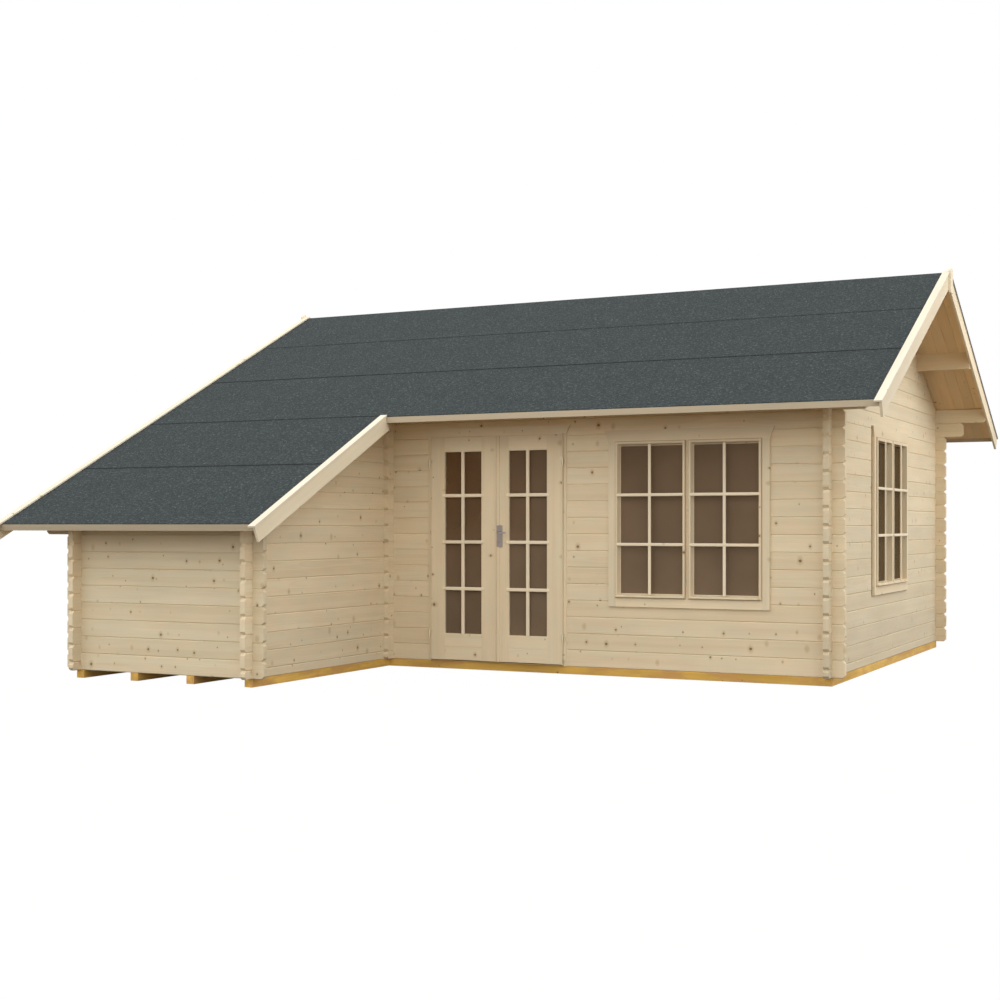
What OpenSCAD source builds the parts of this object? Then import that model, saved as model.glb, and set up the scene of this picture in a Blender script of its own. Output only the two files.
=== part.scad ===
/* [Plan] */
// Outer width of the main room along the ridge, between its two side walls' outer faces
room_w = 3866; // [3600:2:5200]
// Outer depth of the main room, from the front wall to the back wall
room_d = 4146; // [3900:2:5200]
// Width of the side store, beside the main room
store_w = 1704; // [1400:2:2400]
// How far the side store stands forward of the main front wall
store_reach = 2006; // [1500:2:2100]

/* [Logs] */
// Height of one log course
course = 135; // [110:1:160]
// Thickness of a wall log
log_t = 44; // [34:1:60]
// How far the log ends stand past a crossing wall
log_end = 99; // [60:1:140]
// Depth of the groove at each joint between logs
groove = 6; // [3:0.5:10]
// Chamfer at the top and bottom of a log's end
end_chamfer = 22; // [10:1:30]
// Height of the front and back walls at their outer faces
wall_h = 2282; // [2150:2:2600]
// How far the second log from the top stands past the gable walls
corbel = 266; // [150:1:300]
// How far the second log from the top of the store's front wall stands past its left corner
store_corbel = 314; // [150:1:340]

/* [Base] */
// Height of the foundation beams
beam_h = 63; // [40:1:100]
// Width of the foundation beams
beam_w = 72; // [50:1:100]
// Most that two joists lie apart, centre to centre
joist_gap = 560; // [400:10:800]
// Thickness of the floor boards
floor_t = 19; // [16:1:28]

/* [Roof] */
// Slope of the roof, in degrees
roof_pitch = 26.3; // [22:0.1:28]
// Reach of the roof past the front and back walls
eave_reach = 516; // [300:1:600]
// Reach of the roof past the store's front wall
store_eave_reach = 308; // [200:1:400]
// Reach of the roof boards past the right gable
gable_reach = 478; // [350:1:600]
// Reach of the roof boards past the left gable
left_reach = 532; // [350:1:600]
// Reach of the store roof boards past the store's side wall
store_side_reach = 257; // [150:1:300]
// Thickness of the roof boards
roof_board_t = 19; // [16:1:28]
// Width of one roof board
roof_board_w = 96; // [80:1:140]
// Thickness of the roofing felt
felt_t = 5; // [3:1:8]
// Height of the fascia board along each eave
fascia_h = 48; // [40:1:100]
// Thickness of the fascia, barge and finial boards
trim_t = 19; // [16:1:25]
// Height of the barge boards, measured square to the slope
barge_h = 120; // [90:1:160]
// Width of the cap boards on top of the barge boards
cap_w = 60; // [45:1:100]
// Thickness of the cap boards
cap_t = 12; // [9:1:25]
// How far the cap boards overhang the barge boards' outer faces
cap_over = 6; // [0:1:20]
// How far the barge boards run on past the eaves, on plan
barge_past = 50; // [0:1:80]
// How far the cap boards run on past the eaves, on plan
cap_past = 64; // [0:1:90]
// Height of the finial boards at the gable tops
finial_h = 218; // [180:1:300]
// Width of the finial boards
finial_w = 100; // [80:5:140]
// Width of the ridge and side purlins
purlin_w = 60; // [44:1:90]
// Height of the ridge and side purlins
purlin_h = 155; // [120:1:200]
// Distance of each side purlin from the ridge, on plan
purlin_offset = 1140; // [900:2:1400]

/* [Door] */
// Centre of the double door, from the main room's left side
door_x = 1037; // [1000:1:1100]
// Width over both door leaves
door_w = 1220; // [1100:1:1400]
// Height of the door leaves
door_h = 1885; // [1800:1:1950]
// Thickness of a door leaf
leaf_t = 40; // [35:1:50]
// Width of the outer upright rail of a leaf
stile_w = 134; // [100:1:150]
// Width of the upright rails where the leaves meet, the two taken together
meeting_stiles = 252; // [180:2:300]
// How far the meeting line stands to the right of the door's middle
meeting_shift = 15; // [0:1:30]
// Height of the top rail of a leaf
top_rail_h = 127; // [100:1:180]
// Height of the two bottom rails of a leaf together
bottom_rail_h = 224; // [150:1:400]
// Running gap round each leaf
leaf_gap = 6; // [5:0.5:8]
// Gap under the leaves, above the threshold
leaf_lift = 14; // [10:1:20]
// Width of the door jambs
jamb_w = 29; // [25:1:60]
// How far the leaves stand proud of the front wall
leaf_proud = 26; // [15:1:30]
// Width of the inner doorway between the main room and the store
inner_door_w = 800; // [700:10:900]
// Distance of the inner doorway from the main front wall's outer face
inner_door_y = 2500; // [2300:10:2600]

/* [Windows] */
// Width over the two sashes of a window
window_w = 1205; // [1000:1:1300]
// Height of a sash
window_h = 1245; // [1000:1:1300]
// Height of the sashes' bottom above the foundation
window_z = 575; // [500:5:700]
// Centre of the front window, from the main room's left side
window_x = 2722; // [2700:1:2800]
// Centre of the gable window, from the main front wall
gable_window_y = 2012; // [1800:1:2300]
// Width of a sash's frame, seen from outside
sash_w = 38; // [35:1:55]
// Thickness of a sash
sash_t = 40; // [30:1:50]
// Width of the centre post between the sashes
post_w = 32; // [10:1:40]
// Width of the casing boards round a window
casing_w = 65; // [50:1:100]
// Height of the casing board under a window
sill_casing_h = 75; // [50:1:100]
// Height of the casing board over a window
head_casing_h = 95; // [60:1:120]
// How far the slanted ends of a head casing reach past the boards under it
head_horn = 35; // [10:1:50]
// Thickness of the casing boards
casing_t = 18; // [12:1:25]
// Thickness of the lining inside a window opening
lining_t = 20; // [15:1:30]
// Thickness of the glass
glass_t = 4; // [3:1:6]

/* [Hidden] */
pine = [0.80, 0.73, 0.60];
treated = [0.74, 0.57, 0.28];
eps = 1;

// Roof planes, as heights over the ground at a distance y behind the main front wall. Each
// sloping layer lies a bed's clearance over the one beneath it
slope = tan(roof_pitch);
ridge_y = room_d / 2;
ridge_z = beam_h + wall_h + slope * ridge_y;
function soffit_z(y) = ridge_z - slope * abs(y - ridge_y);
board_v = roof_board_t / cos(roof_pitch);
felt_v = felt_t / cos(roof_pitch);
bed = 0.1;
barge_v = barge_h / cos(roof_pitch);

// Edges of the plan: x = 0 is the main room's left side, y = 0 the main front wall
left_x = -store_w;
store_y = -store_reach;
roof_left = left_x - left_reach;
roof_right = room_w + gable_reach;
store_roof_right = store_side_reach;
eave_y = -eave_reach;
store_eave_y = store_y - store_eave_reach;
back_eave_y = room_d + eave_reach;
mid_x = (roof_left + roof_right) / 2;
mid_y = (store_eave_y + back_eave_y) / 2;

// Courses: the walls along the ridge start with a whole log, the others with half a log
courses = ceil((ridge_z - beam_h) / course) + 1;
door_courses = floor((door_h + leaf_lift) / course);
door_split = beam_h + door_courses * course;
function whole_joints(a, b) = [for (k = [a : b]) beam_h + k * course];
function half_joints(n) = concat([beam_h], [for (k = [0 : n]) beam_h + (k + 0.5) * course]);
top_log = floor(wall_h / course);
store_wall_h = soffit_z(store_y) - beam_h;
store_top_log = floor(store_wall_h / course);

module at_plan() {
    translate([-mid_x, -mid_y, 0]) children();
}

// Points down one side of a stack of logs: a notch at each joint, each log with its own end
function side_points(z, e, c) = [for (j = [0 : len(z) - 2]) each concat(
    j == 0 || e[j] != e[j - 1] ? [[e[j] - c, z[j]]] : [],
    [[e[j], z[j] + c], [e[j], z[j + 1] - c], [e[j] - c, z[j + 1]]])];
function reversed(p) = [for (i = [len(p) - 1 : -1 : 0]) p[i]];
function mirrored(p) = [for (q = p) [-q[0], q[1]]];
module stack(z, low_ends, high_ends, c) {
    low = [for (v = low_ends) -v];
    polygon(concat(side_points(z, high_ends, c), reversed(mirrored(side_points(z, low, c)))));
}
function same(n, v) = [for (i = [1 : n]) v];

// Everything below the underside of the roof boards, as one prism along the ridge
module under_roof() {
    reach = room_d + store_reach;
    translate([roof_left - eps, 0, 0]) rotate([90, 0, 90]) linear_extrude(roof_right - roof_left + 2 * eps)
        polygon([[ridge_y - reach, -eps], [ridge_y + reach, -eps],
            [ridge_y + reach, soffit_z(ridge_y + reach)], [ridge_y, ridge_z],
            [ridge_y - reach, soffit_z(ridge_y - reach)]]);
}

// A wall of logs along X, its outer face at y and its logs running between the given ends
module x_wall(y, z, low_ends, high_ends) {
    n = len(z) - 1;
    low = min(low_ends);
    high = max(high_ends);
    intersection() {
        translate([low - eps, y, 0]) rotate([90, 0, 90]) linear_extrude(high - low + 2 * eps)
            stack(z, same(n, 0), same(n, log_t), groove);
        translate([0, y + log_t + eps, 0]) rotate([90, 0, 0]) linear_extrude(log_t + 2 * eps)
            stack(z, low_ends, high_ends, end_chamfer);
        under_roof();
    }
}

// The same along Y, its left face at x
module y_wall(x, z, low_end, high_end) {
    n = len(z) - 1;
    intersection() {
        translate([x, high_end + eps, 0]) rotate([90, 0, 0])
            linear_extrude(high_end - low_end + 2 * eps)
            stack(z, same(n, 0), same(n, log_t), groove);
        translate([x - eps, 0, 0]) rotate([90, 0, 90]) linear_extrude(log_t + 2 * eps)
            stack(z, same(n, low_end), same(n, high_end), end_chamfer);
        under_roof();
    }
}

// Cut-outs where two walls cross: each log keeps the middle half of its height
module whole_log_notches(x, y) {
    for (k = [0 : courses])
        translate([x, y - eps, beam_h + (k - 0.25) * course])
            cube([log_t, log_t + 2 * eps, course / 2]);
}
module half_log_notches(x, y) {
    for (k = [0 : courses])
        translate([x - eps, y, beam_h + (k + 0.25) * course])
            cube([log_t + 2 * eps, log_t, course / 2]);
}

// Purlins along the ridge and halfway down each slope
side_purlin_ys = [ridge_y - purlin_offset, ridge_y + purlin_offset];
side_purlin_bottom = soffit_z(ridge_y + purlin_offset - purlin_w / 2) - purlin_h;
module purlin(y, bottom) {
    translate([roof_left, 0, 0]) rotate([90, 0, 90]) linear_extrude(roof_right - roof_left)
        polygon(concat([[y - purlin_w / 2, bottom], [y + purlin_w / 2, bottom],
            [y + purlin_w / 2, soffit_z(y + purlin_w / 2)]],
            y == ridge_y ? [[ridge_y, ridge_z]] : [],
            [[y - purlin_w / 2, soffit_z(y - purlin_w / 2)]]));
}
module purlin_slot(y, bottom) {
    translate([roof_left, y - purlin_w / 2, bottom]) cube([roof_right - roof_left, purlin_w, ridge_z]);
}
module purlin_slots() {
    purlin_slot(ridge_y, ridge_z - purlin_h);
    for (y = side_purlin_ys) purlin_slot(y, side_purlin_bottom);
}

// Foundation
function spread(a, b, gap) = let(n = ceil((b - a) / gap)) [for (i = [0 : n]) a + i * (b - a) / n];
gable_joist_x = room_w - 2 * beam_w;

module store_joists() {
    at_plan() color(treated)
    for (x = spread(left_x, -beam_w, joist_gap))
        translate([x, store_y, 0]) cube([beam_w, room_d + store_reach, beam_h]);
}
module sill_beams() {
    at_plan() color(treated)
    for (y = [0, room_d - beam_w])
        translate([0, y, 0]) cube([gable_joist_x, beam_w, beam_h]);
}
module gable_beam() {
    at_plan() color(treated)
    translate([room_w - beam_w, 0, 0]) cube([beam_w, room_d, beam_h]);
}
module room_joists() {
    xs = spread(0, gable_joist_x, joist_gap);
    at_plan() color(treated) {
        for (i = [1 : len(xs) - 2])
            translate([xs[i], beam_w, 0]) cube([beam_w, room_d - 2 * beam_w, beam_h]);
        translate([gable_joist_x, 0, 0]) cube([beam_w, room_d, beam_h]);
    }
}

// Floors
module room_floor() {
    at_plan() color(pine) difference() {
        translate([log_t, log_t, beam_h]) cube([room_w - 2 * log_t, room_d - 2 * log_t, floor_t]);
        jamb_boxes();
    }
}
module store_floor() {
    at_plan() color(pine) difference() {
        translate([left_x + log_t, store_y + log_t, beam_h])
            cube([store_w - log_t, room_d + store_reach - 2 * log_t, floor_t]);
        translate([-log_t, store_y, 0]) cube([log_t + eps, store_reach, 2 * beam_h + course]);
        translate([-log_end, -eps, 0]) cube([log_end + eps, log_t + eps, 2 * beam_h + course]);
    }
}

// Door opening between the jambs' outer faces
hole_w = door_w + 2 * (leaf_gap + jamb_w);
hole_left = door_x - hole_w / 2;
hole_right = door_x + hole_w / 2;
head_bottom = beam_h + leaf_lift + door_h + leaf_gap;
head_h = 70;
leaf_left = door_x - door_w / 2;
leaf_right = door_x + door_w / 2;
meeting_x = door_x + meeting_shift;
left_meeting_stile = meeting_stiles / 2 + meeting_shift;
right_meeting_stile = meeting_stiles / 2 - meeting_shift;
leaf_z = beam_h + leaf_lift;

module door_hole() {
    translate([hole_left, -eps, 0]) cube([hole_w, log_t + 2 * eps, head_bottom + head_h]);
}

// Main front wall
module front_wall_left() {
    n = door_courses;
    at_plan() color(pine) difference() {
        x_wall(0, whole_joints(0, n), same(n, -log_end), same(n, hole_left + end_chamfer));
        door_hole();
        whole_log_notches(0, 0);
    }
}
module front_wall_right() {
    n = door_courses;
    at_plan() color(pine) difference() {
        x_wall(0, whole_joints(0, n), same(n, hole_right - end_chamfer), same(n, room_w + log_end));
        door_hole();
        whole_log_notches(room_w - log_t, 0);
        front_window_hole();
    }
}
module front_wall_top() {
    n = top_log - door_courses + 1;
    at_plan() color(pine) difference() {
        x_wall(0, whole_joints(door_courses, top_log + 1), same(n, -log_end),
            [for (j = [1 : n]) room_w + (j == n ? gable_reach : j == n - 1 ? corbel : log_end)]);
        door_hole();
        whole_log_notches(0, 0);
        whole_log_notches(room_w - log_t, 0);
        front_window_hole();
    }
}

// Back wall, right through behind the store and the main room
module back_wall() {
    n = top_log + 1;
    at_plan() color(pine) difference() {
        x_wall(room_d - log_t, whole_joints(0, n),
            [for (j = [1 : n]) left_x - (j == n ? left_reach : j == n - 1 ? corbel : log_end)],
            [for (j = [1 : n]) room_w + (j == n ? gable_reach : j == n - 1 ? corbel : log_end)]);
        for (x = [left_x, 0, room_w - log_t]) whole_log_notches(x, room_d - log_t);
    }
}

// Front wall of the store
module store_front_wall() {
    n = store_top_log + 1;
    at_plan() color(pine) difference() {
        x_wall(store_y, whole_joints(0, n),
            [for (j = [1 : n]) left_x - (j == n ? left_reach : j == n - 1 ? store_corbel : log_end)],
            [for (j = [1 : n]) j == n ? store_side_reach : log_end]);
        for (x = [left_x, -log_t]) whole_log_notches(x, store_y);
    }
}

// Gable walls
module right_gable_wall() {
    at_plan() color(pine) difference() {
        y_wall(room_w - log_t, half_joints(courses), -log_end, room_d + log_end);
        for (y = [0, room_d - log_t]) half_log_notches(room_w - log_t, y);
        gable_window_hole();
        purlin_slots();
    }
}
module left_gable_wall() {
    at_plan() color(pine) difference() {
        y_wall(left_x, half_joints(courses), store_y - log_end, room_d + log_end);
        for (y = [store_y, room_d - log_t]) half_log_notches(left_x, y);
        purlin_slots();
    }
}

// Side wall of the store, which ends at the main front wall's log ends
module store_side_wall() {
    at_plan() color(pine) difference() {
        y_wall(-log_t, half_joints(courses), store_y - log_end, end_chamfer + groove);
        half_log_notches(-log_t, store_y);
        translate([-log_t - eps, 0, 0]) cube([log_t + 2 * eps, room_d, 2 * ridge_z]);
    }
}

// Wall between the main room and the store, split round the inner doorway
module cross_wall() {
    difference() {
        y_wall(0, half_joints(courses), -log_end, room_d + log_end);
        for (y = [0, room_d - log_t]) half_log_notches(0, y);
        purlin_slots();
    }
}
module cross_wall_front() {
    at_plan() color(pine) difference() {
        cross_wall();
        translate([-eps, inner_door_y, 0]) cube([log_t + 2 * eps, room_d, 2 * ridge_z]);
        translate([-eps, -room_d, door_split]) cube([log_t + 2 * eps, 3 * room_d, ridge_z]);
    }
}
module cross_wall_back() {
    at_plan() color(pine) difference() {
        cross_wall();
        translate([-eps, inner_door_y + inner_door_w - 2 * room_d, 0])
            cube([log_t + 2 * eps, 2 * room_d, 2 * ridge_z]);
        translate([-eps, -room_d, door_split]) cube([log_t + 2 * eps, 3 * room_d, ridge_z]);
    }
}
module cross_wall_top() {
    at_plan() color(pine) difference() {
        cross_wall();
        translate([-eps, -room_d, 0]) cube([log_t + 2 * eps, 3 * room_d, door_split]);
    }
}

// Board along Z or X with its long edges eased
ease = 3;
module eased(a, b) {
    polygon([[ease, 0], [a - ease, 0], [a, ease], [a, b - ease],
        [a - ease, b], [ease, b], [0, b - ease], [0, ease]]);
}
module post(size) {
    linear_extrude(size[2]) eased(size[0], size[1]);
}
module rail(size) {
    rotate([90, 0, 90]) linear_extrude(size[0]) eased(size[1], size[2]);
}

// Double door
jamb_proud = 8;
jamb_depth = log_t + casing_t + jamb_proud;
module jamb_boxes() {
    for (x = [hole_left, hole_right - jamb_w])
        translate([x, -jamb_proud, beam_h]) cube([jamb_w, jamb_depth, head_bottom - beam_h]);
}
module door_jambs() {
    at_plan() color(pine)
    for (x = [hole_left, hole_right - jamb_w])
        translate([x, -jamb_proud, beam_h]) post([jamb_w, jamb_depth, head_bottom - beam_h]);
}
module door_head() {
    at_plan() color(pine) {
        translate([hole_left, -jamb_proud, head_bottom]) rail([hole_w, jamb_depth, head_h]);
        translate([door_x, 0, head_bottom]) head_board(hole_w / 2, head_h);
    }
}
threshold_h = leaf_lift - leaf_gap;
module threshold() {
    at_plan() color(pine)
    translate([hole_left + jamb_w, -jamb_proud, beam_h])
        cube([hole_w - 2 * jamb_w, jamb_proud + log_t, threshold_h]);
}
// Stops on the jambs and the head, a running gap behind the leaves
stop_lap = 8;
stop_w = leaf_gap + stop_lap;
module door_stops() {
    y = leaf_t - leaf_proud + leaf_gap;
    z = beam_h + threshold_h;
    side_h = head_bottom - stop_w - z;
    at_plan() color(pine) {
        for (x = [hole_left + jamb_w, hole_right - jamb_w - stop_w])
            translate([x, y, z]) cube([stop_w, log_t - y, side_h]);
        translate([hole_left + jamb_w, y, head_bottom - stop_w])
            cube([hole_w - 2 * jamb_w, log_t - y, stop_w]);
    }
}
module door_leaf(x0, x1, stile_0, stile_1) {
    pane_w = x1 - x0 - stile_0 - stile_1;
    translate([x0, -leaf_proud, leaf_z]) {
        post([stile_0, leaf_t, door_h]);
        translate([x1 - x0 - stile_1, 0, 0]) post([stile_1, leaf_t, door_h]);
        for (z = [0, bottom_rail_h / 2])
            translate([stile_0 - ease, 0, z]) rail([pane_w + 2 * ease, leaf_t, bottom_rail_h / 2]);
        translate([stile_0 - ease, 0, door_h - top_rail_h])
            rail([pane_w + 2 * ease, leaf_t, top_rail_h]);
    }
}
module door_leaf_left() {
    at_plan() color(pine)
    door_leaf(leaf_left, meeting_x - leaf_gap / 2, stile_w, left_meeting_stile);
}
module door_leaf_right() {
    at_plan() color(pine) {
        door_leaf(meeting_x + leaf_gap / 2, leaf_right, right_meeting_stile, stile_w);
        meeting_strip();
    }
}
meeting_w = 25;
meeting_t = 8;
module meeting_strip() {
    translate([meeting_x + leaf_gap / 2, -leaf_proud - meeting_t, leaf_z])
        post([meeting_w, meeting_t + ease, door_h]);
}
glass_back = 22;
module door_pane(x0, x1) {
    translate([x0, glass_back - leaf_proud, leaf_z + bottom_rail_h])
        cube([x1 - x0, glass_t, door_h - bottom_rail_h - top_rail_h]);
}
module door_glass_left() {
    at_plan() color([0.4, 0.35, 0.3, 0.5])
    door_pane(leaf_left + stile_w, meeting_x - leaf_gap / 2 - left_meeting_stile);
}
module door_glass_right() {
    at_plan() color([0.4, 0.35, 0.3, 0.5])
    door_pane(meeting_x + leaf_gap / 2 + right_meeting_stile, leaf_right - stile_w);
}

// Lever handle on the right leaf, its plate cut round the meeting strip
handle_z = beam_h + 969;
handle_w = 50;
handle_h = 184;
plate_t = meeting_t + 4;
lever_up = 116;
lever_l = 95;
module door_handle() {
    x = meeting_x + leaf_gap / 2 + 2;
    face = -leaf_proud - plate_t;
    at_plan() color([0.62, 0.62, 0.65]) {
        difference() {
            translate([x, face, handle_z]) cube([handle_w, plate_t, handle_h]);
            meeting_strip();
        }
        translate([x + handle_w / 2, face + eps, handle_z + lever_up]) rotate([90, 0, 0])
            cylinder(h = 40, r = 9, $fn = 32);
        translate([x + handle_w / 2 - 9, face - 48, handle_z + lever_up - 9]) cube([lever_l, 10, 18]);
    }
}

// Hinges: pins on the jambs, straps with a sleeve on the leaves
hinge_r = 7;
pin_r = 3.5;
hinge_h = 32;
pin_off = 10;
pin_y = -leaf_proud - hinge_r - 1;
hinge_in = 190;
strap_l = 24;
pin_fit = 0.05;
hinge_zs = [leaf_z + hinge_in, leaf_z + door_h - hinge_in - 2 * hinge_h];
pin_xs = [leaf_left - pin_off, leaf_right + pin_off];
module hinge_pins() {
    at_plan() color([0.62, 0.62, 0.65])
    for (x = pin_xs, z = hinge_zs) translate([x, pin_y, z]) {
        cylinder(h = hinge_h, r = hinge_r, $fn = 32);
        cylinder(h = 2 * hinge_h - 2, r = pin_r, $fn = 32);
        translate([-3, 0, 6]) cube([6, -jamb_proud - pin_y, hinge_h - 12]);
    }
}
module strap(x, side) {
    for (z = hinge_zs) translate([x, pin_y, z + hinge_h + 0.3]) difference() {
        union() {
            cylinder(h = hinge_h - 0.3, r = hinge_r, $fn = 32);
            translate([side > 0 ? 0 : -strap_l, hinge_r - 2, 4]) cube([strap_l, 3, hinge_h - 8.3]);
        }
        translate([0, 0, -eps]) cylinder(h = hinge_h + 2 * eps, r = pin_r + pin_fit, $fn = 32);
    }
}
module hinge_straps_left() {
    at_plan() color([0.62, 0.62, 0.65]) strap(pin_xs[0], 1);
}
module hinge_straps_right() {
    at_plan() color([0.62, 0.62, 0.65]) strap(pin_xs[1], -1);
}

// Windows, drawn with u along the wall, v inwards from its outer face and z up
module frame_ring(w, h, inner, depth) {
    difference() {
        translate([-w / 2, 0, 0]) cube([w, depth, h]);
        translate([-w / 2 + inner, -eps, inner]) cube([w - 2 * inner, depth + 2 * eps, h - 2 * inner]);
    }
}
// Head casing board with slanted ends, in front of the wall
module head_board(half_w, h) {
    rotate([90, 0, 0]) linear_extrude(casing_t)
        polygon([[-half_w, 0], [half_w, 0], [half_w + head_horn, h], [-half_w - head_horn, h]]);
}
post_back = 8;
module window_frame() {
    w = window_w + 2 * lining_t;
    h = window_h + 2 * lining_t;
    half_w = window_w / 2 + casing_w;
    translate([0, -casing_t, -lining_t]) frame_ring(w, h, lining_t, log_t + 2 * casing_t);
    translate([-post_w / 2, post_back - casing_t, 0]) cube([post_w, log_t, window_h]);
    for (v = [-casing_t, log_t]) difference() {
        translate([-half_w, v, -sill_casing_h])
            cube([2 * half_w, casing_t, window_h + sill_casing_h + (v < 0 ? 0 : head_casing_h)]);
        translate([-window_w / 2, v - eps, 0]) cube([window_w, casing_t + 2 * eps, window_h]);
    }
    translate([0, 0, window_h]) head_board(half_w, head_casing_h);
}
sash_proud = 30;
drip = 12;
glass_in = 16;
one_sash_w = (window_w - post_w) / 2;
module window_sashes() {
    for (s = [-1, 1]) translate([s * (window_w + post_w) / 4, -sash_proud, 0]) {
        frame_ring(one_sash_w, window_h, sash_w, sash_t);
        translate([-one_sash_w / 2, -drip, 4]) cube([one_sash_w, drip, 14]);
    }
}
module window_glass() {
    for (s = [-1, 1]) translate([s * (window_w + post_w) / 4, -sash_proud, 0])
        translate([sash_w - one_sash_w / 2, sash_t - glass_in, sash_w])
            cube([one_sash_w - 2 * sash_w, glass_t, window_h - 2 * sash_w]);
}
module window_hole() {
    translate([-window_w / 2 - lining_t, -eps, -lining_t])
        cube([window_w + 2 * lining_t, log_t + 2 * eps, window_h + 2 * lining_t]);
}
module at_front_window() {
    translate([window_x, 0, beam_h + window_z]) children();
}
module at_gable_window() {
    translate([room_w, gable_window_y, beam_h + window_z + course / 2]) rotate([0, 0, 90]) children();
}
module front_window_hole() {
    at_front_window() window_hole();
}
module gable_window_hole() {
    at_gable_window() window_hole();
}
module front_window_frame() {
    at_plan() color(pine) at_front_window() window_frame();
}
module front_window_sashes() {
    at_plan() color(pine) at_front_window() window_sashes();
}
module front_window_glass() {
    at_plan() color([0.4, 0.35, 0.3, 0.5]) at_front_window() window_glass();
}
module gable_window_frame() {
    at_plan() color(pine) at_gable_window() window_frame();
}
module gable_window_sashes() {
    at_plan() color(pine) at_gable_window() window_sashes();
}
module gable_window_glass() {
    at_plan() color([0.4, 0.35, 0.3, 0.5]) at_gable_window() window_glass();
}

module ridge_purlin() {
    at_plan() color(pine) purlin(ridge_y, ridge_z - purlin_h);
}
module side_purlins() {
    at_plan() color(pine)
    for (y = side_purlin_ys) purlin(y, side_purlin_bottom);
}

// Band along one roof slope, between two heights over the underside of the boards
module slope_band(x0, x1, y0, y1, low, high) {
    translate([x0, 0, 0]) rotate([90, 0, 90]) linear_extrude(x1 - x0)
        polygon([[y0, soffit_z(y0) + low], [y1, soffit_z(y1) + low],
            [y1, soffit_z(y1) + high], [y0, soffit_z(y0) + high]]);
}
// Roof boards lie side by side up the slope, with a groove underneath at each joint
module board_slope(x0, x1, y0, y1) {
    n = round((x1 - x0) / roof_board_w);
    difference() {
        slope_band(x0, x1, y0, y1, bed, board_v);
        for (i = [1 : n - 1]) translate([x0 + i * (x1 - x0) / n, 0, 0])
            groove_prism(y0, y1);
    }
}
groove_w = 3;
module groove_prism(y0, y1) {
    past = 40;
    start = min(y0, y1);
    translate([0, start, soffit_z(start) + bed]) rotate([y0 < ridge_y ? roof_pitch : -roof_pitch, 0, 0])
        translate([0, -past, 0]) rotate([-90, 0, 0])
        linear_extrude((max(y0, y1) - start) / cos(roof_pitch) + 2 * past)
        polygon([[-groove_w, eps], [groove_w, eps], [0, -groove_w]]);
}
module roof_boards_front() {
    at_plan() color(pine) board_slope(store_roof_right, roof_right, eave_y + trim_t, ridge_y);
}
module roof_boards_store() {
    at_plan() color(pine) board_slope(roof_left, store_roof_right, store_eave_y + trim_t, ridge_y);
}
module roof_boards_back() {
    at_plan() color(pine) board_slope(roof_left, roof_right, ridge_y, back_eave_y - trim_t);
}
felt_grey = [0.30, 0.34, 0.35];
module roof_felt_front() {
    at_plan() color(felt_grey)
    slope_band(store_roof_right, roof_right, eave_y, ridge_y, board_v + bed, board_v + felt_v);
}
module roof_felt_store() {
    at_plan() color(felt_grey)
    slope_band(roof_left, store_roof_right, store_eave_y, ridge_y, board_v + bed, board_v + felt_v);
}
module roof_felt_back() {
    at_plan() color(felt_grey)
    slope_band(roof_left, roof_right, ridge_y, back_eave_y, board_v + bed, board_v + felt_v);
}

// Fascia boards close the board ends under the felt
module fascia(x0, x1, y0, y1) {
    edge = y0 < ridge_y ? min(y0, y1) : max(y0, y1);
    bottom = soffit_z(edge) + board_v - fascia_h;
    translate([x0, 0, 0]) rotate([90, 0, 90]) linear_extrude(x1 - x0)
        polygon([[y0, bottom], [y1, bottom], [y1, soffit_z(y1) + board_v], [y0, soffit_z(y0) + board_v]]);
}
module eave_fascias() {
    at_plan() color(pine) {
        fascia(store_roof_right + trim_t, roof_right, eave_y, eave_y + trim_t);
        fascia(roof_left, store_roof_right, store_eave_y, store_eave_y + trim_t);
        fascia(roof_left, roof_right, back_eave_y - trim_t, back_eave_y);
    }
}

// Barge boards down the roof's edges, with a cap board on top of each. Their ends are cut square
// to the slope, but for the plumb joints under the finials
barge_top = board_v + felt_v;
cap_v = cap_t / cos(roof_pitch);
module edge_board(x, w, y_low, y_high, top, h, square_top = false) {
    in_y = h * sin(roof_pitch) * sign(y_high - y_low);
    drop = h * cos(roof_pitch);
    low = soffit_z(y_low) + top;
    high = soffit_z(y_high) + top;
    translate([x, 0, 0]) rotate([90, 0, 90]) linear_extrude(w)
        polygon([[y_low, low], [y_high, high],
            square_top ? [y_high + in_y, high - drop] : [y_high, high - h / cos(roof_pitch)],
            [y_low + in_y, low - drop]]);
}
module barge(x, eave, y_high, square_top = false) {
    edge_board(x, trim_t, eave - barge_past * sign(y_high - eave), y_high, barge_top, barge_h, square_top);
}
module cap(x, eave, y_high, square_top = false) {
    edge_board(x, cap_w, eave - cap_past * sign(y_high - eave), y_high, barge_top + cap_v,
        (cap_v - bed) * cos(roof_pitch), square_top);
}
module barge_boards_front() {
    at_plan() color(pine) {
        barge(roof_right, eave_y, ridge_y);
        barge(roof_left - trim_t, store_eave_y, ridge_y);
        barge(store_roof_right, store_eave_y, eave_y - felt_t * sin(roof_pitch), true);
    }
}
module barge_boards_back() {
    at_plan() color(pine) {
        barge(roof_right, back_eave_y, ridge_y);
        barge(roof_left - trim_t, back_eave_y, ridge_y);
    }
}
right_cap_x = roof_right + trim_t + cap_over - cap_w;
left_cap_x = roof_left - trim_t - cap_over;
module barge_caps_front() {
    at_plan() color(pine) difference() {
        union() {
            cap(right_cap_x, eave_y, ridge_y);
            cap(left_cap_x, store_eave_y, ridge_y);
            cap(store_roof_right + trim_t + cap_over - cap_w, store_eave_y, eave_y, true);
        }
        finial_pair();
    }
}
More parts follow.
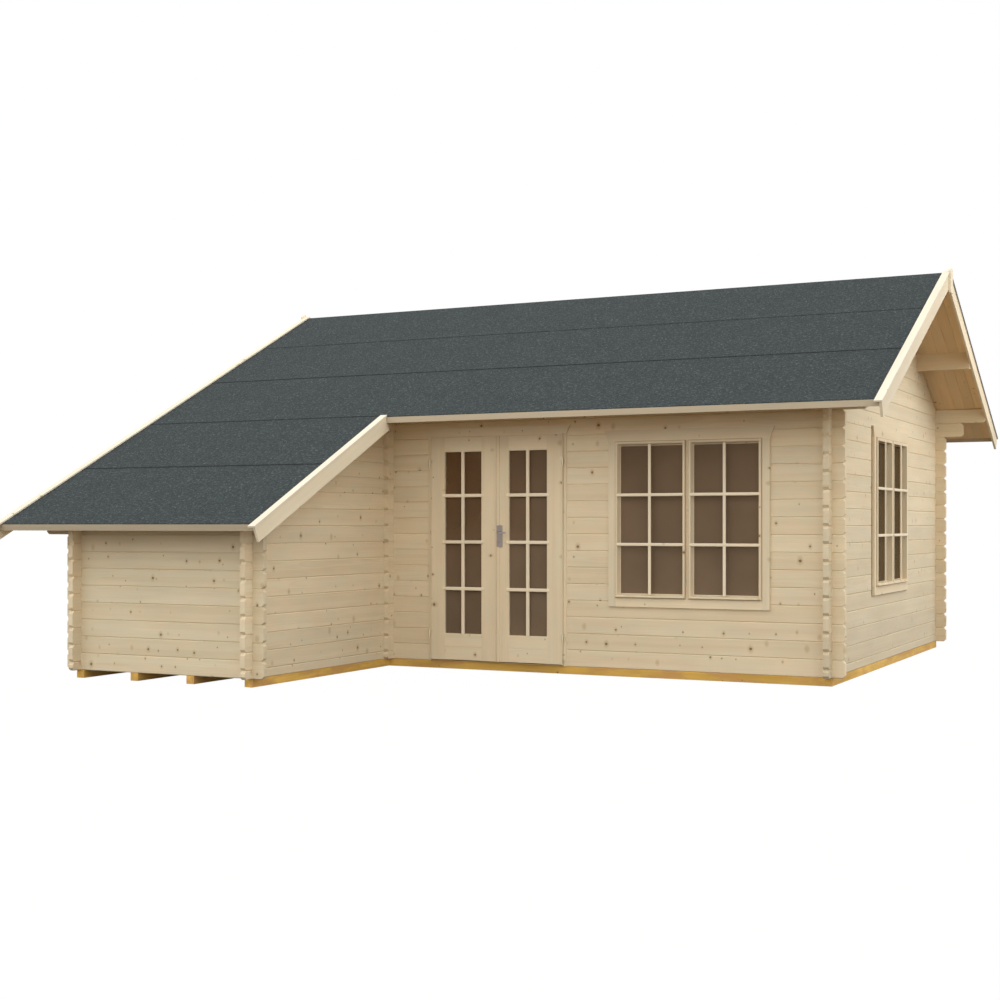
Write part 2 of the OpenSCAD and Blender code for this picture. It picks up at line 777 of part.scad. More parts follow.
module barge_caps_back() {
    at_plan() color(pine) difference() {
        union() {
            cap(right_cap_x, back_eave_y, ridge_y);
            cap(left_cap_x, back_eave_y, ridge_y);
        }
        finial_pair();
    }
}
// Finial boards with a top pitched like the roof
finial_up = 22;
finial_top = ridge_z + barge_top + cap_v + finial_up;
module finial_pair() {
    half = finial_w / 2;
    shoulder = finial_top - slope * half;
    for (x = [roof_right + trim_t, roof_left - 2 * trim_t])
        translate([x, ridge_y, 0]) rotate([90, 0, 90]) linear_extrude(trim_t)
        polygon([[-half, finial_top - finial_h], [half, finial_top - finial_h],
            [half, shoulder], [0, finial_top], [-half, shoulder]]);
}
module finials() {
    at_plan() color(pine) finial_pair();
}

store_joists();
room_joists();
sill_beams();
gable_beam();
room_floor();
store_floor();
front_wall_left();
front_wall_right();
front_wall_top();
right_gable_wall();
back_wall();
left_gable_wall();
store_front_wall();
store_side_wall();
cross_wall_front();
cross_wall_back();
cross_wall_top();
door_jambs();
door_head();
door_stops();
threshold();
door_leaf_left();
door_leaf_right();
door_glass_left();
door_glass_right();
door_handle();
hinge_pins();
hinge_straps_left();
hinge_straps_right();
front_window_frame();
front_window_sashes();
front_window_glass();
gable_window_frame();
gable_window_sashes();
gable_window_glass();
ridge_purlin();
side_purlins();
roof_boards_front();
roof_boards_store();
roof_boards_back();
roof_felt_front();
roof_felt_store();
roof_felt_back();
eave_fascias();
barge_boards_front();
barge_boards_back();
barge_caps_front();
barge_caps_back();
finials();
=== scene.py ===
import math

import bmesh
import bpy
import numpy as np
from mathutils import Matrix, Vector


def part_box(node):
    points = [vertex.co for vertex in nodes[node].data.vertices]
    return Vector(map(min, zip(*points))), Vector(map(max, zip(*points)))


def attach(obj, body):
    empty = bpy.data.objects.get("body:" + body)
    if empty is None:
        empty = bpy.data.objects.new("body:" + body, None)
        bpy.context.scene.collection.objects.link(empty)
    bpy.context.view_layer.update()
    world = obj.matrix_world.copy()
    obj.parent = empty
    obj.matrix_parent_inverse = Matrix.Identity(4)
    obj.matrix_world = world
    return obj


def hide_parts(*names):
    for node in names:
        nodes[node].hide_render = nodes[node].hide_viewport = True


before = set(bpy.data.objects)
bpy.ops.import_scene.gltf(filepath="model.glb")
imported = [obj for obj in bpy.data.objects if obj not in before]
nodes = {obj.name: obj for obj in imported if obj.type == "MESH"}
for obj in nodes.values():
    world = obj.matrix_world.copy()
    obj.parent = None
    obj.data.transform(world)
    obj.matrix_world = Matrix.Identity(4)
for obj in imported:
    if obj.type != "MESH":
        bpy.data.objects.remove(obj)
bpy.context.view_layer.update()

# Lengths are metres, in the row frame: +X right, +Y back, +Z up, z = 0 under the beams

cabin = {
    "course": 0.135,        # height of one log
    "pitch": math.radians(26.3),
}
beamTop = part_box("room_floor")[0].z
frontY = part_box("front_wall_left")[0].y
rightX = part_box("right_gable_wall")[1].x
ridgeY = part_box("roof_felt_back")[0].y
cosP, sinP = math.cos(cabin["pitch"]), math.sin(cabin["pitch"])


class Nodes:
    # A short way to add shader nodes to a tree and join them up
    def __init__(self, tree):
        self.tree = tree
        tree.nodes.clear()

    def add(self, kind):
        return self.tree.nodes.new("ShaderNode" + kind)

    def put(self, socket, value):
        if isinstance(value, bpy.types.NodeSocket):
            self.tree.links.new(value, socket)
        elif value is not None:
            socket.default_value = value

    def math(self, op, a, b=None, c=None):
        n = self.add("Math")
        n.operation = op
        for socket, value in zip(n.inputs, (a, b, c)):
            self.put(socket, value)
        return n.outputs[0]

    def times(self, a, b):
        return self.math("MULTIPLY", a, b)

    def place(self):
        return self.add("TexCoord").outputs["Object"]

    def vector(self, op, a, b):
        n = self.add("VectorMath")
        n.operation = op
        self.put(n.inputs[0], a)
        self.put(n.inputs[1], b)
        return n

    def along(self, point, direction):
        return self.vector("DOT_PRODUCT", point, direction).outputs["Value"]

    def minus(self, a, b):
        return self.vector("SUBTRACT", a, b).outputs[0]

    def join(self, x, y, z):
        n = self.add("CombineXYZ")
        for socket, value in zip(n.inputs, (x, y, z)):
            self.put(socket, value)
        return n.outputs[0]

    def noise(self, vector, scale=1.0, detail=3.0, rough=0.5):
        n = self.add("TexNoise")
        self.put(n.inputs["Vector"], vector)
        n.inputs["Scale"].default_value = scale
        n.inputs["Detail"].default_value = detail
        n.inputs["Roughness"].default_value = rough
        return n.outputs[0]

    def cells(self, vector, scale, flat=True):
        n = self.add("TexVoronoi")
        n.voronoi_dimensions = "2D" if flat else "3D"
        self.put(n.inputs["Vector"], vector)
        n.inputs["Scale"].default_value = scale
        return n.outputs["Distance"], n.outputs["Color"], n.outputs["Position"]

    def split(self, colour):
        n = self.add("SeparateColor")
        self.put(n.inputs[0], colour)
        return n.outputs[:3]

    def chance(self, value, seed):
        # three random numbers for each value
        n = self.add("TexWhiteNoise")
        n.noise_dimensions = "2D"
        self.put(n.inputs["Vector"], self.join(value, seed, 0.0))
        return self.split(n.outputs["Color"])

    def ramp(self, value, low, high, start=0.0, end=1.0, smooth=True):
        n = self.add("MapRange")
        n.interpolation_type = "SMOOTHSTEP" if smooth else "LINEAR"
        for key, v in zip(("Value", "From Min", "From Max", "To Min", "To Max"),
                          (value, low, high, start, end)):
            self.put(n.inputs[key], v)
        return n.outputs[0]

    def blend(self, amount, a, b, kind="MIX"):
        n = self.add("Mix")
        n.data_type, n.blend_type = "RGBA", kind
        self.put(n.inputs[0], amount)
        for socket, value in ((n.inputs[6], a), (n.inputs[7], b)):
            self.put(socket, (*value, 1.0) if isinstance(value, tuple) else value)
        return n.outputs[2]

    def tint(self, a, b):
        return self.blend(1.0, a, b, "MULTIPLY")

    def lerp(self, amount, a, b):
        n = self.add("Mix")
        self.put(n.inputs[0], amount)
        self.put(n.inputs[2], a)
        self.put(n.inputs[3], b)
        return n.outputs[0]

    def shade(self, colour, factor):
        # colour times a number
        n = self.add("VectorMath")
        n.operation = "SCALE"
        self.put(n.inputs[0], colour)
        self.put(n.inputs["Scale"], factor)
        return n.outputs[0]

    def about(self, value, depth):
        # 1 give or take half the depth, from a value between 0 and 1
        return self.math("MULTIPLY_ADD", value, depth, 1.0 - depth / 2)

    def bump(self, height, distance, strength=1.0):
        n = self.add("Bump")
        n.inputs["Distance"].default_value = distance
        n.inputs["Strength"].default_value = strength
        self.put(n.inputs["Height"], height)
        return n.outputs[0]

    def seen(self):
        # 1 where the camera looks, straight, through glass or by a reflection, and 0 for lighting
        rays = self.add("LightPath").outputs
        direct = self.math("MAXIMUM", rays["Is Camera Ray"], rays["Is Glossy Ray"])
        return self.math("MAXIMUM", direct, rays["Is Transmission Ray"])

    def mixed(self, amount, a, b):
        # two shaders mixed
        n = self.add("MixShader")
        for socket, value in zip(n.inputs, (amount, a, b)):
            self.put(socket, value)
        return n.outputs[0]


class Finish(Nodes):
    # A new material, with a Principled shader to start from
    def __init__(self, name):
        self.mat = bpy.data.materials.new(name)
        self.mat.use_nodes = True
        super().__init__(self.mat.node_tree)
        self.out = self.add("OutputMaterial")
        self.bsdf = self.add("BsdfPrincipled")
        self.put(self.out.inputs[0], self.bsdf.outputs[0])

    def set(self, key, value):
        self.put(self.bsdf.inputs[key], value)


# Which way the grain runs, with the two directions across it: seen width, then thickness
grains = {
    "x": ((1, 0, 0), (0, 0, 1), (0, 1, 0)),
    "y": ((0, 1, 0), (0, 0, 1), (1, 0, 0)),
    "z": ((0, 0, 1), (1, 0, 0), (0, 1, 0)),
    "zSide": ((0, 0, 1), (0, 1, 0), (1, 0, 0)),
    "floor": ((1, 0, 0), (0, 1, 0), (0, 0, 1)),
    "up": ((0, cosP, sinP), (1, 0, 0), (0, -sinP, cosP)),
    "down": ((0, cosP, -sinP), (1, 0, 0), (0, sinP, cosP)),
    "upEdge": ((0, cosP, sinP), (0, -sinP, cosP), (1, 0, 0)),
    "downEdge": ((0, cosP, -sinP), (0, sinP, cosP), (1, 0, 0)),
}

# Noise to the metre along the grain and across it, with its detail and roughness
grainNoise = {
    "bend": (0.9, 5.0, 2.0, 0.5),
    "fine": (2.2, 95.0, 3.0, 0.6),
    "broad": (0.55, 16.0, 3.0, 0.5),
    "cloud": (1.7, 4.0, 2.0, 0.5),
    "blotch": (4.0, 13.0, 4.0, 0.5),
}

pine = {
    "light": (0.80, 0.685, 0.500),
    "dark": (0.64, 0.492, 0.305),
    "warm": (1.0, 0.93, 0.80),       # some boards lean this way
    "rose": (1.022, 0.998, 0.978),   # and blotches lean to one of these
    "straw": (0.985, 1.004, 1.0),
    "ringDepth": 0.30,      # how far the year rings darken the wood
    "ringWidth": 0.0062,
    "ringBend": 0.034,      # how far the rings wander
    "ringKnot": 0.009,      # how far they bend round a knot
    "streakDepth": 0.13,
    "cloudDepth": 0.16,     # soft patches along a board
    "toneDepth": 0.10,      # difference from one board to the next
    "knot": (0.155, 0.078, 0.030),
    "stain": (0.46, 0.325, 0.145),   # soft discoloured wood round a knot
    "knotSpacing": 0.15,
    "knotShare": 0.55,      # share of the cells that hold a knot
    "knotDepth": 0.78,
    "knotRadius": (0.0035, 0.0105),
    "rough": 0.62,
    "bump": 0.0005,
}
# "patch" adds strong blotches of another colour, and the height tone adds painted shade that changes with
# height, darker near the eaves and the door head on some pieces, and lower down on the gable and fascias:
# (from z, to z, tone there, tone here)
treated = dict(pine, light=(0.77, 0.50, 0.13), dark=(0.56, 0.32, 0.060), patch=(0.60, 0.33, 0.115),
               streakDepth=0.30, cloudDepth=0.9, knotShare=0.5, toneDepth=0.25)
# painted shade: the store front darkens towards its eave
storeLogs = dict(pine, light=(0.755, 0.662, 0.490), dark=(0.60, 0.472, 0.298),
                 heightShade=(0.80, 1.32, 1.0, 0.715))
# painted shade: the gable darkens lower down
gableLogs = dict(pine, light=(0.785, 0.682, 0.503), dark=(0.635, 0.498, 0.318),
                 knotShare=0.38, knotDepth=0.45, knotRadius=(0.0035, 0.0085),
                 heightShade=(0.2, 2.4, 0.865, 1.02))
boards = dict(pine, light=(0.81, 0.605, 0.375), dark=(0.64, 0.435, 0.23), knotShare=0.36,
              toneDepth=0.14)
planed = dict(pine, knotShare=0.22, streakDepth=0.11, ringDepth=0.22)
trim = dict(planed, light=(0.83, 0.74, 0.58), dark=(0.72, 0.60, 0.42), knotShare=0.2)
bargeWood = dict(planed, light=(0.82, 0.715, 0.54), dark=(0.69, 0.56, 0.385), knotShare=0.3)
# painted shade: the fascias darken lower down, so the store's fascia is darker
fasciaLook = dict(planed, light=(0.50, 0.42, 0.305), dark=(0.38, 0.30, 0.20),
                 heightShade=(1.5, 2.1, 0.82, 1.05))
barWood = dict(trim, light=(0.86, 0.75, 0.58), dark=(0.74, 0.60, 0.42), knotShare=0.06)
capWood = dict(trim, light=(0.805, 0.732, 0.62), dark=(0.71, 0.612, 0.466))
purlinLook = dict(planed, light=(0.735, 0.585, 0.395), dark=(0.60, 0.435, 0.255))
# painted shade near the top of the door leaves and the front window casing, below the eave
leafLook = dict(planed, knotShare=0.42, heightShade=(1.80, 1.94, 1.0, 0.885))
casingLook = dict(planed, heightShade=(1.84, 1.95, 1.0, 0.885))
thresholdLook = dict(planed, light=(0.60, 0.40, 0.17), dark=(0.46, 0.28, 0.10), knotShare=0.0)
stripLook = dict(planed, light=(0.52, 0.40, 0.265), dark=(0.40, 0.295, 0.18), knotShare=0.0)
# painted shadow: the dark brown of the strips along the gable casing's edges
shadowStripLook = dict(planed, light=(0.27, 0.215, 0.135), dark=(0.21, 0.165, 0.10), knotShare=0.0)


def woodFinish(name, finish, grain, width, start, seed, crossGrain=None, crossZones=None):
    # Sawn wood in boards of one width. Year rings are circles round a pith line that lies along
    # the grain, so they show as long streaks on the faces and as arcs on the ends. Every board
    # has its own pith and tone. Knots are small discs scattered over the face, and the rings
    # bend round them. Inside crossZones the grain runs the other way.
    n = Finish(name)
    place = n.place()
    u, v, w = (n.along(place, d) for d in grains[grain])
    if crossGrain:
        turn = crossZones(n, place)
        turned = [n.along(place, d) for d in grains[crossGrain]]
        u, v, w = (n.lerp(turn, a, b) for a, b in zip((u, v, w), turned))
    boardAt = n.math("DIVIDE", n.math("SUBTRACT", v, start), width)
    board = n.math("FLOOR", boardAt)
    if crossGrain:
        board = n.math("MULTIPLY_ADD", turn, 31.0, board)
    inBoard = n.times(n.math("FRACT", boardAt), width)
    pithAt, pithDepth, tone = n.chance(board, seed + 0.37)
    shift, warmth, knotty = n.chance(board, seed + 5.91)
    shift = n.times(shift, 37.0)
    uShift = n.math("ADD", u, shift)

    def stretched(key):
        alongBy, acrossBy, detail, rough = grainNoise[key]
        point = n.join(n.times(uShift, alongBy), n.times(v, acrossBy), n.times(w, acrossBy))
        return n.noise(point, 1.0, detail, rough)

    # knots: a dark core that is often missing or part gone, in a soft stain that is longer
    # across the grain. k1 is a knot's size, k2 says whether it is there, k3 how dark it is
    spot = n.join(uShift, n.math("ADD", v, shift), 0.0)
    _, kind, centre = n.cells(spot, 1 / finish["knotSpacing"])
    away = n.minus(spot, centre)
    du, dv = n.along(away, (1, 0, 0)), n.along(away, (0, 1, 0))
    k1, k2, k3 = n.split(kind)
    low, high = finish["knotRadius"]
    radius = n.math("MULTIPLY_ADD", n.math("POWER", k1, 2.5), high - low, low)
    there = n.math("LESS_THAN", k2, n.times(n.math("ADD", 0.45, knotty), finish["knotShare"]))
    wobble = n.noise(n.join(n.times(uShift, 70.0), n.times(v, 70.0), 0.0), 1.0, 2.0)
    sway = n.math("MULTIPLY_ADD", wobble, 0.7, -0.35)

    def reach(alongBy, acrossBy):
        # distance from the knot's centre, in radii, with an uneven outline
        a, b = n.times(du, alongBy), n.times(dv, acrossBy)
        far = n.math("SQRT", n.math("ADD", n.times(a, a), n.times(b, b)))
        return n.math("ADD", n.math("DIVIDE", far, radius), sway)

    core = reach(0.9, 1.0)
    dark = n.times(there, n.ramp(k3, 0.22, 0.45))
    knot = n.times(n.ramp(core, 1.2, 0.7), dark)
    rim = n.times(n.times(n.ramp(core, 0.5, 0.95), n.ramp(core, 1.35, 1.0)), dark)
    stain = n.times(n.ramp(reach(0.7, 0.5), 2.4, 0.5), there)
    halo = n.times(n.ramp(core, 4.5, 1.0), there)

    # year rings: a saw-tooth wave of the distance from the pith
    pithV = n.times(n.math("MULTIPLY_ADD", pithAt, 1.6, -0.3), min(width, cabin["course"]))
    pithV = n.math("SUBTRACT", inBoard, pithV)
    pithW = n.math("ADD", w, n.math("MULTIPLY_ADD", pithDepth, 0.16, -0.08 + frontY))
    pithW = n.times(n.math("SUBTRACT", n.math("FRACT", n.times(pithW, 3.1)), 0.5), 0.32)
    out = n.math("SQRT", n.math("ADD", n.times(pithV, pithV), n.times(pithW, pithW)))
    out = n.math("ADD", out, n.times(stretched("bend"), finish["ringBend"]))
    out = n.math("ADD", out, n.times(halo, finish["ringKnot"]))
    wave = n.math("FRACT", n.math("DIVIDE", out, finish["ringWidth"]))
    ring = n.times(n.math("POWER", wave, 2.2), n.ramp(wave, 1.0, 0.86))

    # long fine streaks, soft clouds of tone, and the board's own tone and warmth
    fine = stretched("fine")
    colour = n.blend(n.times(ring, finish["ringDepth"]), finish["light"], finish["dark"])
    streak = n.ramp(stretched("broad"), 0.35, 0.75)
    colour = n.blend(n.times(streak, finish["streakDepth"] * 2.2), colour, finish["dark"])
    for value, depth in ((fine, finish["streakDepth"] * 0.9), (stretched("cloud"), finish["cloudDepth"]),
                         (tone, finish["toneDepth"])):
        colour = n.shade(colour, n.about(value, depth))
    colour = n.blend(n.times(warmth, 0.30), colour, n.tint(colour, finish["warm"]))
    blotch = stretched("blotch")
    colour = n.tint(colour, n.blend(n.ramp(blotch, 0.36, 0.64), finish["rose"], finish["straw"]))
    if "patch" in finish:
        colour = n.blend(n.ramp(blotch, 0.42, 0.62, 0.0, 0.85), colour, finish["patch"])
    # painted shade: a tone that changes with height
    if "heightShade" in finish:
        colour = n.shade(colour, n.ramp(n.along(place, (0, 0, 1)), *finish["heightShade"]))
    stainDepth = n.math("MULTIPLY_ADD", k1, 0.25, 0.22)
    colour = n.blend(n.times(stain, stainDepth), colour, finish["stain"])
    colour = n.blend(n.times(knot, finish["knotDepth"]), colour, finish["knot"])
    n.set("Base Color", n.shade(colour, n.math("MULTIPLY_ADD", rim, -0.22, 1.0)))
    n.set("Roughness", n.math("MULTIPLY_ADD", fine, 0.16, finish["rough"] - 0.08))
    n.set("Specular IOR Level", 0.12)
    height = n.math("ADD", n.times(ring, 0.45), n.times(fine, 0.55))
    height = n.math("SUBTRACT", height, n.times(rim, 0.8))
    n.set("Normal", n.bump(height, finish["bump"]))
    return n.mat


oneBoard = {"width": 10.0, "start": -5.3}    # so wide that a whole piece is one board


def pieceWood(name, finish, grain, seed, *cross):
    return woodFinish(name, finish, grain, oneBoard["width"], oneBoard["start"], seed, *cross)


feltLook = {
    "base": (0.0275, 0.0385, 0.0395),
    "clumps": (0.8, 1.3),   # the base colour's tone between clumps and in them
    "pale": (0.140, 0.170, 0.168),
    "paleShare": 0.30,
    "deep": (0.009, 0.012, 0.013),
    "deepShare": 0.16,
    "grains": 190.0,        # granules to the metre
    "lapShadowDepth": 0.95,       # how far the line at a lap darkens
    "bump": 0.0012,
}


def feltFinish(name):
    # Mineral felt: crushed slate granules, a share of them pale, and a painted shadow line under each lap's
    # edge
    n = Finish(name)
    place = n.place()
    spot, kind, _ = n.cells(place, feltLook["grains"], flat=False)
    k1, k2, k3 = n.split(kind)
    clump = n.noise(place, 46.0, 3.0, 0.65)
    patch = n.noise(place, 5.5, 3.0)
    low, high = (tuple(tone * c for c in feltLook["base"]) for tone in feltLook["clumps"])
    colour = n.blend(n.ramp(clump, 0.3, 0.75), low, high)
    pale = n.times(n.math("GREATER_THAN", k1, 1 - feltLook["paleShare"]), n.ramp(clump, 0.45, 0.68))
    colour = n.blend(n.times(pale, 0.75), colour, feltLook["pale"])
    deep = n.math("LESS_THAN", k2, feltLook["deepShare"])
    colour = n.blend(n.times(deep, 0.6), colour, feltLook["deep"])
    colour = n.shade(colour, n.about(patch, 0.34))
    # painted shadow under each lap's edge, read from the lap attribute
    mark = n.add("Attribute")
    mark.attribute_name = "lap"
    line = n.times(mark.outputs["Fac"], feltLook["lapShadowDepth"])
    n.set("Base Color", n.blend(line, colour, feltLook["deep"]))
    n.set("Roughness", n.math("MULTIPLY_ADD", k3, 0.2, 0.76))
    n.set("Specular IOR Level", 0.35)
    height = n.math("ADD", n.math("SUBTRACT", 1.0, spot), n.times(clump, 0.8))
    n.set("Normal", n.bump(height, feltLook["bump"], 0.9))
    return n.mat


glassLook = {
    # painted shade: the brown of the dim room seen through the pane
    "roomTints": ((0.205, 0.142, 0.090), (0.245, 0.172, 0.112)),
    "shadow": (0.78, 0.60, 0.43),    # the panes darken and warm towards the top left
    "shadowHeight": (0.4, 1.8),
    "shadowX": (0.6, -0.5),
    "shadowFar": 0.25,               # share of the shadow at the right
}


def glassFinish(name, glint, tone=(1.0, 1.0, 1.0)):
    # Tinted pane whose faintly uneven brown is the painted dim room behind it, so that a little of the
    # inside shows
    n = Finish(name)
    place = n.place()
    paneMottle = n.noise(place, 1.6, 3.0)
    tint = n.tint(n.blend(n.ramp(paneMottle, 0.3, 0.7), *glassLook["roomTints"]), tone)
    height, across = n.along(place, (0, 0, 1)), n.along(place, (1, 0, 0))
    shadow = n.times(n.ramp(height, *glassLook["shadowHeight"]),
                     n.ramp(across, *glassLook["shadowX"], glassLook["shadowFar"], 1.0))
    n.set("Base Color", n.blend(shadow, tint, n.tint(tint, glassLook["shadow"])))
    n.set("Alpha", n.math("MULTIPLY_ADD", paneMottle, 0.10, 0.70))
    n.set("Roughness", n.ramp(paneMottle, 0.2, 0.8, 0.05, 0.12))
    n.set("Specular IOR Level", glint)
    return n.mat


def metalFinish(name, dark, light):
    # Satin metal, brushed upright, with faint handling marks
    n = Finish(name)
    place = n.place()
    x, y, z = (n.along(place, d) for d in ((1, 0, 0), (0, 1, 0), (0, 0, 1)))
    brush = n.noise(n.join(n.times(x, 900.0), n.times(y, 900.0), n.times(z, 14.0)), 1.0, 2.0)
    smear = n.noise(place, 22.0, 3.0)
    n.set("Base Color", n.blend(brush, dark, light))
    n.set("Roughness", n.ramp(smear, 0.25, 0.75, 0.30, 0.45))
    n.set("Metallic", 0.85)
    n.set("Normal", n.bump(brush, 0.00004))
    return n.mat


def zones(axis, middle, spans, above=None):
    # 1 inside any of the spans (middle, half width) along an axis, or above a height
    def build(n, place):
        at = n.along(place, axis)
        total = None
        for centre, half in spans:
            off = n.math("ABSOLUTE", n.math("SUBTRACT", at, middle + centre))
            inside = n.math("LESS_THAN", off, half)
            total = inside if total is None else n.math("MAXIMUM", total, inside)
        if above is not None:
            higher = n.math("GREATER_THAN", n.along(place, (0, 0, 1)), above)
            total = n.math("MAXIMUM", total, higher)
        return total
    return build


def dress(material, slotName, *names):
    for name in names:
        for s in nodes[name].material_slots:
            s.material = material


# Logs along x start on the beams, and those along y half a course lower
for name, look, grain, seed, names in (
        ("logsAcross", pine, "x", 1.0, ["front_wall_left", "front_wall_right", "front_wall_top",
                                        "back_wall"]),
        ("logsStore", storeLogs, "x", 1.0, ["store_front_wall"]),
        ("logsGable", gableLogs, "y", 2.0, ["right_gable_wall"]),
        ("logsDeep", pine, "y", 2.0, ["left_gable_wall", "store_side_wall", "cross_wall_front",
                                      "cross_wall_back", "cross_wall_top"])):
    foot = beamTop - (cabin["course"] / 2 if grain == "y" else 0)
    dress(woodFinish(name, look, grain, cabin["course"], foot, seed), "logs", *names)

boarding = {"roof": 0.096, "floor": 0.1}     # board widths; a whole number fills each roof slope
slopeLeft, slopeStep = (corner.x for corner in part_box("roof_boards_store"))
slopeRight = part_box("roof_boards_front")[1].x
for name, grain, x0, x1, seed, node in (
        ("roofBoardsFront", "up", slopeStep, slopeRight, 3.0, "roof_boards_front"),
        ("roofBoardsStore", "up", slopeLeft, slopeStep, 4.0, "roof_boards_store"),
        ("roofBoardsBack", "down", slopeLeft, slopeRight, 5.0, "roof_boards_back")):
    boardWidth = (x1 - x0) / round((x1 - x0) / boarding["roof"])
    dress(woodFinish(name, boards, grain, boardWidth, x0, seed), "roof_timber", node)
floorWood = woodFinish("floorWood", boards, "floor", boarding["floor"], 0.0, 12.0)
dress(floorWood, "joinery", "room_floor", "store_floor")

for name, look, grain, seed, slotName, names in (
        ("capsFront", capWood, "up", 6.0, "roof_timber", ["barge_caps_front"]),
        ("capsBack", capWood, "down", 7.0, "roof_timber", ["barge_caps_back"]),
        ("bargeFront", bargeWood, "upEdge", 8.0, "roof_timber", ["barge_boards_front"]),
        ("bargeBack", bargeWood, "downEdge", 9.0, "roof_timber", ["barge_boards_back"]),
        ("finialWood", trim, "zSide", 10.0, "roof_timber", ["finials"]),
        ("purlinWood", purlinLook, "x", 11.0, "roof_timber", ["ridge_purlin", "side_purlins"]),
        ("fasciaWood", fasciaLook, "x", 26.0, "roof_timber", ["eave_fascias"]),
        ("sillWood", treated, "x", 13.0, "treated_timber", ["sill_beams"]),
        ("joistWood", treated, "y", 14.0, "treated_timber", ["store_joists", "room_joists",
                                                             "gable_beam"]),
        ("thresholdWood", thresholdLook, "x", 29.0, "joinery", ["threshold"])):
    dress(pieceWood(name, look, grain, seed), slotName, *names)
print("walls, roof timber and floors finished")

window = {
    "width": 1.205,         # both sashes and the post between them
    "post": 0.032,
    "sashThick": 0.050,
    "proud": 0.030,         # the sash's face in front of the wall's
    "ease": 0.0015,         # at the sash's outer edges
    # flat outer part of a sash rail, the slope inside it that runs down to the glass, and how far
    # the glass lies behind the rail's face
    "front": {"flat": 0.017, "slope": 0.012, "deep": 0.045},
    "gable": {"flat": 0.025, "slope": 0.004, "deep": 0.046},
    "glass": 0.004,
    "glassEdge": 0.002,     # how far the pane goes in under the rail
    "rows": 3,
    "bar": 0.024,           # width of a glazing bar
    "barProud": 0.006,      # in front of the sash's face
    "barStep": 0.0012,      # the bars across stand this much higher
    "overlap": 0.019,       # how far the bars across lie over the sash
    # section of the drip strip along a sash's foot, as (up, outwards)
    "drip": [(0, -0.0002), (0.0122, -0.0002), (0.0122, 0.004), (0.0105, 0.0085), (0.0075, 0.0118),
             (0.003, 0.0118), (0.0018, 0.0085), (0.0018, 0.004), (0, 0.002)],
    "dripInset": 0.004,     # from the sash's sides
    "dripLift": 0.0012,
    "stripWidth": 0.005,          # width of the brown strip round a sash
    "stripDepths": (0.0100, 0.0116),    # its front and back, behind the sash's face
}
frontSash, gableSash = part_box("front_window_sashes"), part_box("gable_window_sashes")
frontMid = (frontSash[0].x + frontSash[1].x) / 2
gableMid = (gableSash[0].y + gableSash[1].y) / 2
sashHalf = (window["width"] - window["post"]) / 4
sashMids = [s * (window["width"] + window["post"]) / 4 for s in (-1, 1)]
openSpan = [(0.0, window["width"] / 2)]

# Doors and casings: uprights have upright grain, and the rails between them run across
doorLeft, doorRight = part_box("door_leaf_left"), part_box("door_leaf_right")
paneLeft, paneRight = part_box("door_glass_left"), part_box("door_glass_right")
paneSpans = [((a.x + b.x) / 2, (b.x - a.x) / 2) for a, b in (paneLeft, paneRight)]
paneZones = zones((1, 0, 0), 0.0, paneSpans)
frontZones = zones((1, 0, 0), frontMid, openSpan, frontSash[1].z)
gableZones = zones((0, 1, 0), gableMid, openSpan, gableSash[1].z)
dress(pieceWood("leafWood", leafLook, "z", 43.0, "x", paneZones), "joinery",
      "door_leaf_left", "door_leaf_right")
dress(pieceWood("frontCasing", casingLook, "z", 18.0, "x", frontZones), "joinery",
      "front_window_frame")
dress(pieceWood("gableCasing", planed, "zSide", 20.0, "y", gableZones), "joinery",
      "gable_window_frame")
uprightWood, acrossWood, uprightSideWood, deepWood = (
    pieceWood(name, planed, grain, seed) for name, grain, seed in (
        ("uprightWood", "z", 16.0), ("acrossWood", "x", 17.0),
        ("uprightSideWood", "zSide", 19.0), ("deepWood", "y", 21.0)))
barUpright, barAcross, barUprightSide, barDeep = (
    pieceWood(name, barWood, grain, seed) for name, grain, seed in (
        ("barUpright", "z", 22.0), ("barAcross", "x", 23.0),
        ("barUprightSide", "zSide", 24.0), ("barDeep", "y", 25.0)))
stripFinish = pieceWood("brownStrip", stripLook, "z", 27.0)
# the dark strips along the gable casing are painted shadow
shadowStripFinish = pieceWood("casingShadowStrips", shadowStripLook, "z", 28.0)
dress(uprightWood, "joinery", "door_jambs")
dress(acrossWood, "joinery", "door_head", "door_stops")

glass = glassFinish("paneGlass", 0.03)
# the gable's panes get a darker, more olive painted room behind them
sideGlass = glassFinish("sidePaneGlass", 0.002, (0.63, 0.60, 0.40))
dress(glass, "glass", "door_glass_left", "door_glass_right")
metal = metalFinish("satinMetal", (0.31, 0.275, 0.28), (0.45, 0.41, 0.405))
# painted shade: near-black metal for the key slot, the dark opening of the keyhole
keyholeShade = metalFinish("keyholeMetal", (0.035, 0.032, 0.034), (0.06, 0.055, 0.058))
hingeZinc = metalFinish("yellowZinc", (0.62, 0.53, 0.37), (0.76, 0.66, 0.48))
dress(metal, "metal", "door_handle")
dress(hingeZinc, "metal", "hinge_pins", "hinge_straps_left", "hinge_straps_right")
felt = feltFinish("slateFelt")
print("joinery, glass, metal and felt finished")


def gridFaces(rows, cols):
    # Quads between neighbouring points of a rows by cols grid, where each row is a ring
    r, c = np.meshgrid(np.arange(rows - 1), np.arange(cols), indexing="ij")
    a = r * cols + c
    b = r * cols + (c + 1) % cols
    return np.stack([a, b, b + cols, a + cols], axis=-1).reshape(-1, 4).tolist()


def closedGrid(rings):
    # Rings of equal length joined one after another, with a flat face at each end
    rings = np.asarray(rings, float)
    rows, count = rings.shape[:2]
    ends = [list(range(count))[::-1], list(range((rows - 1) * count, rows * count))]
    return rings.reshape(-1, 3), gridFaces(rows, count) + ends


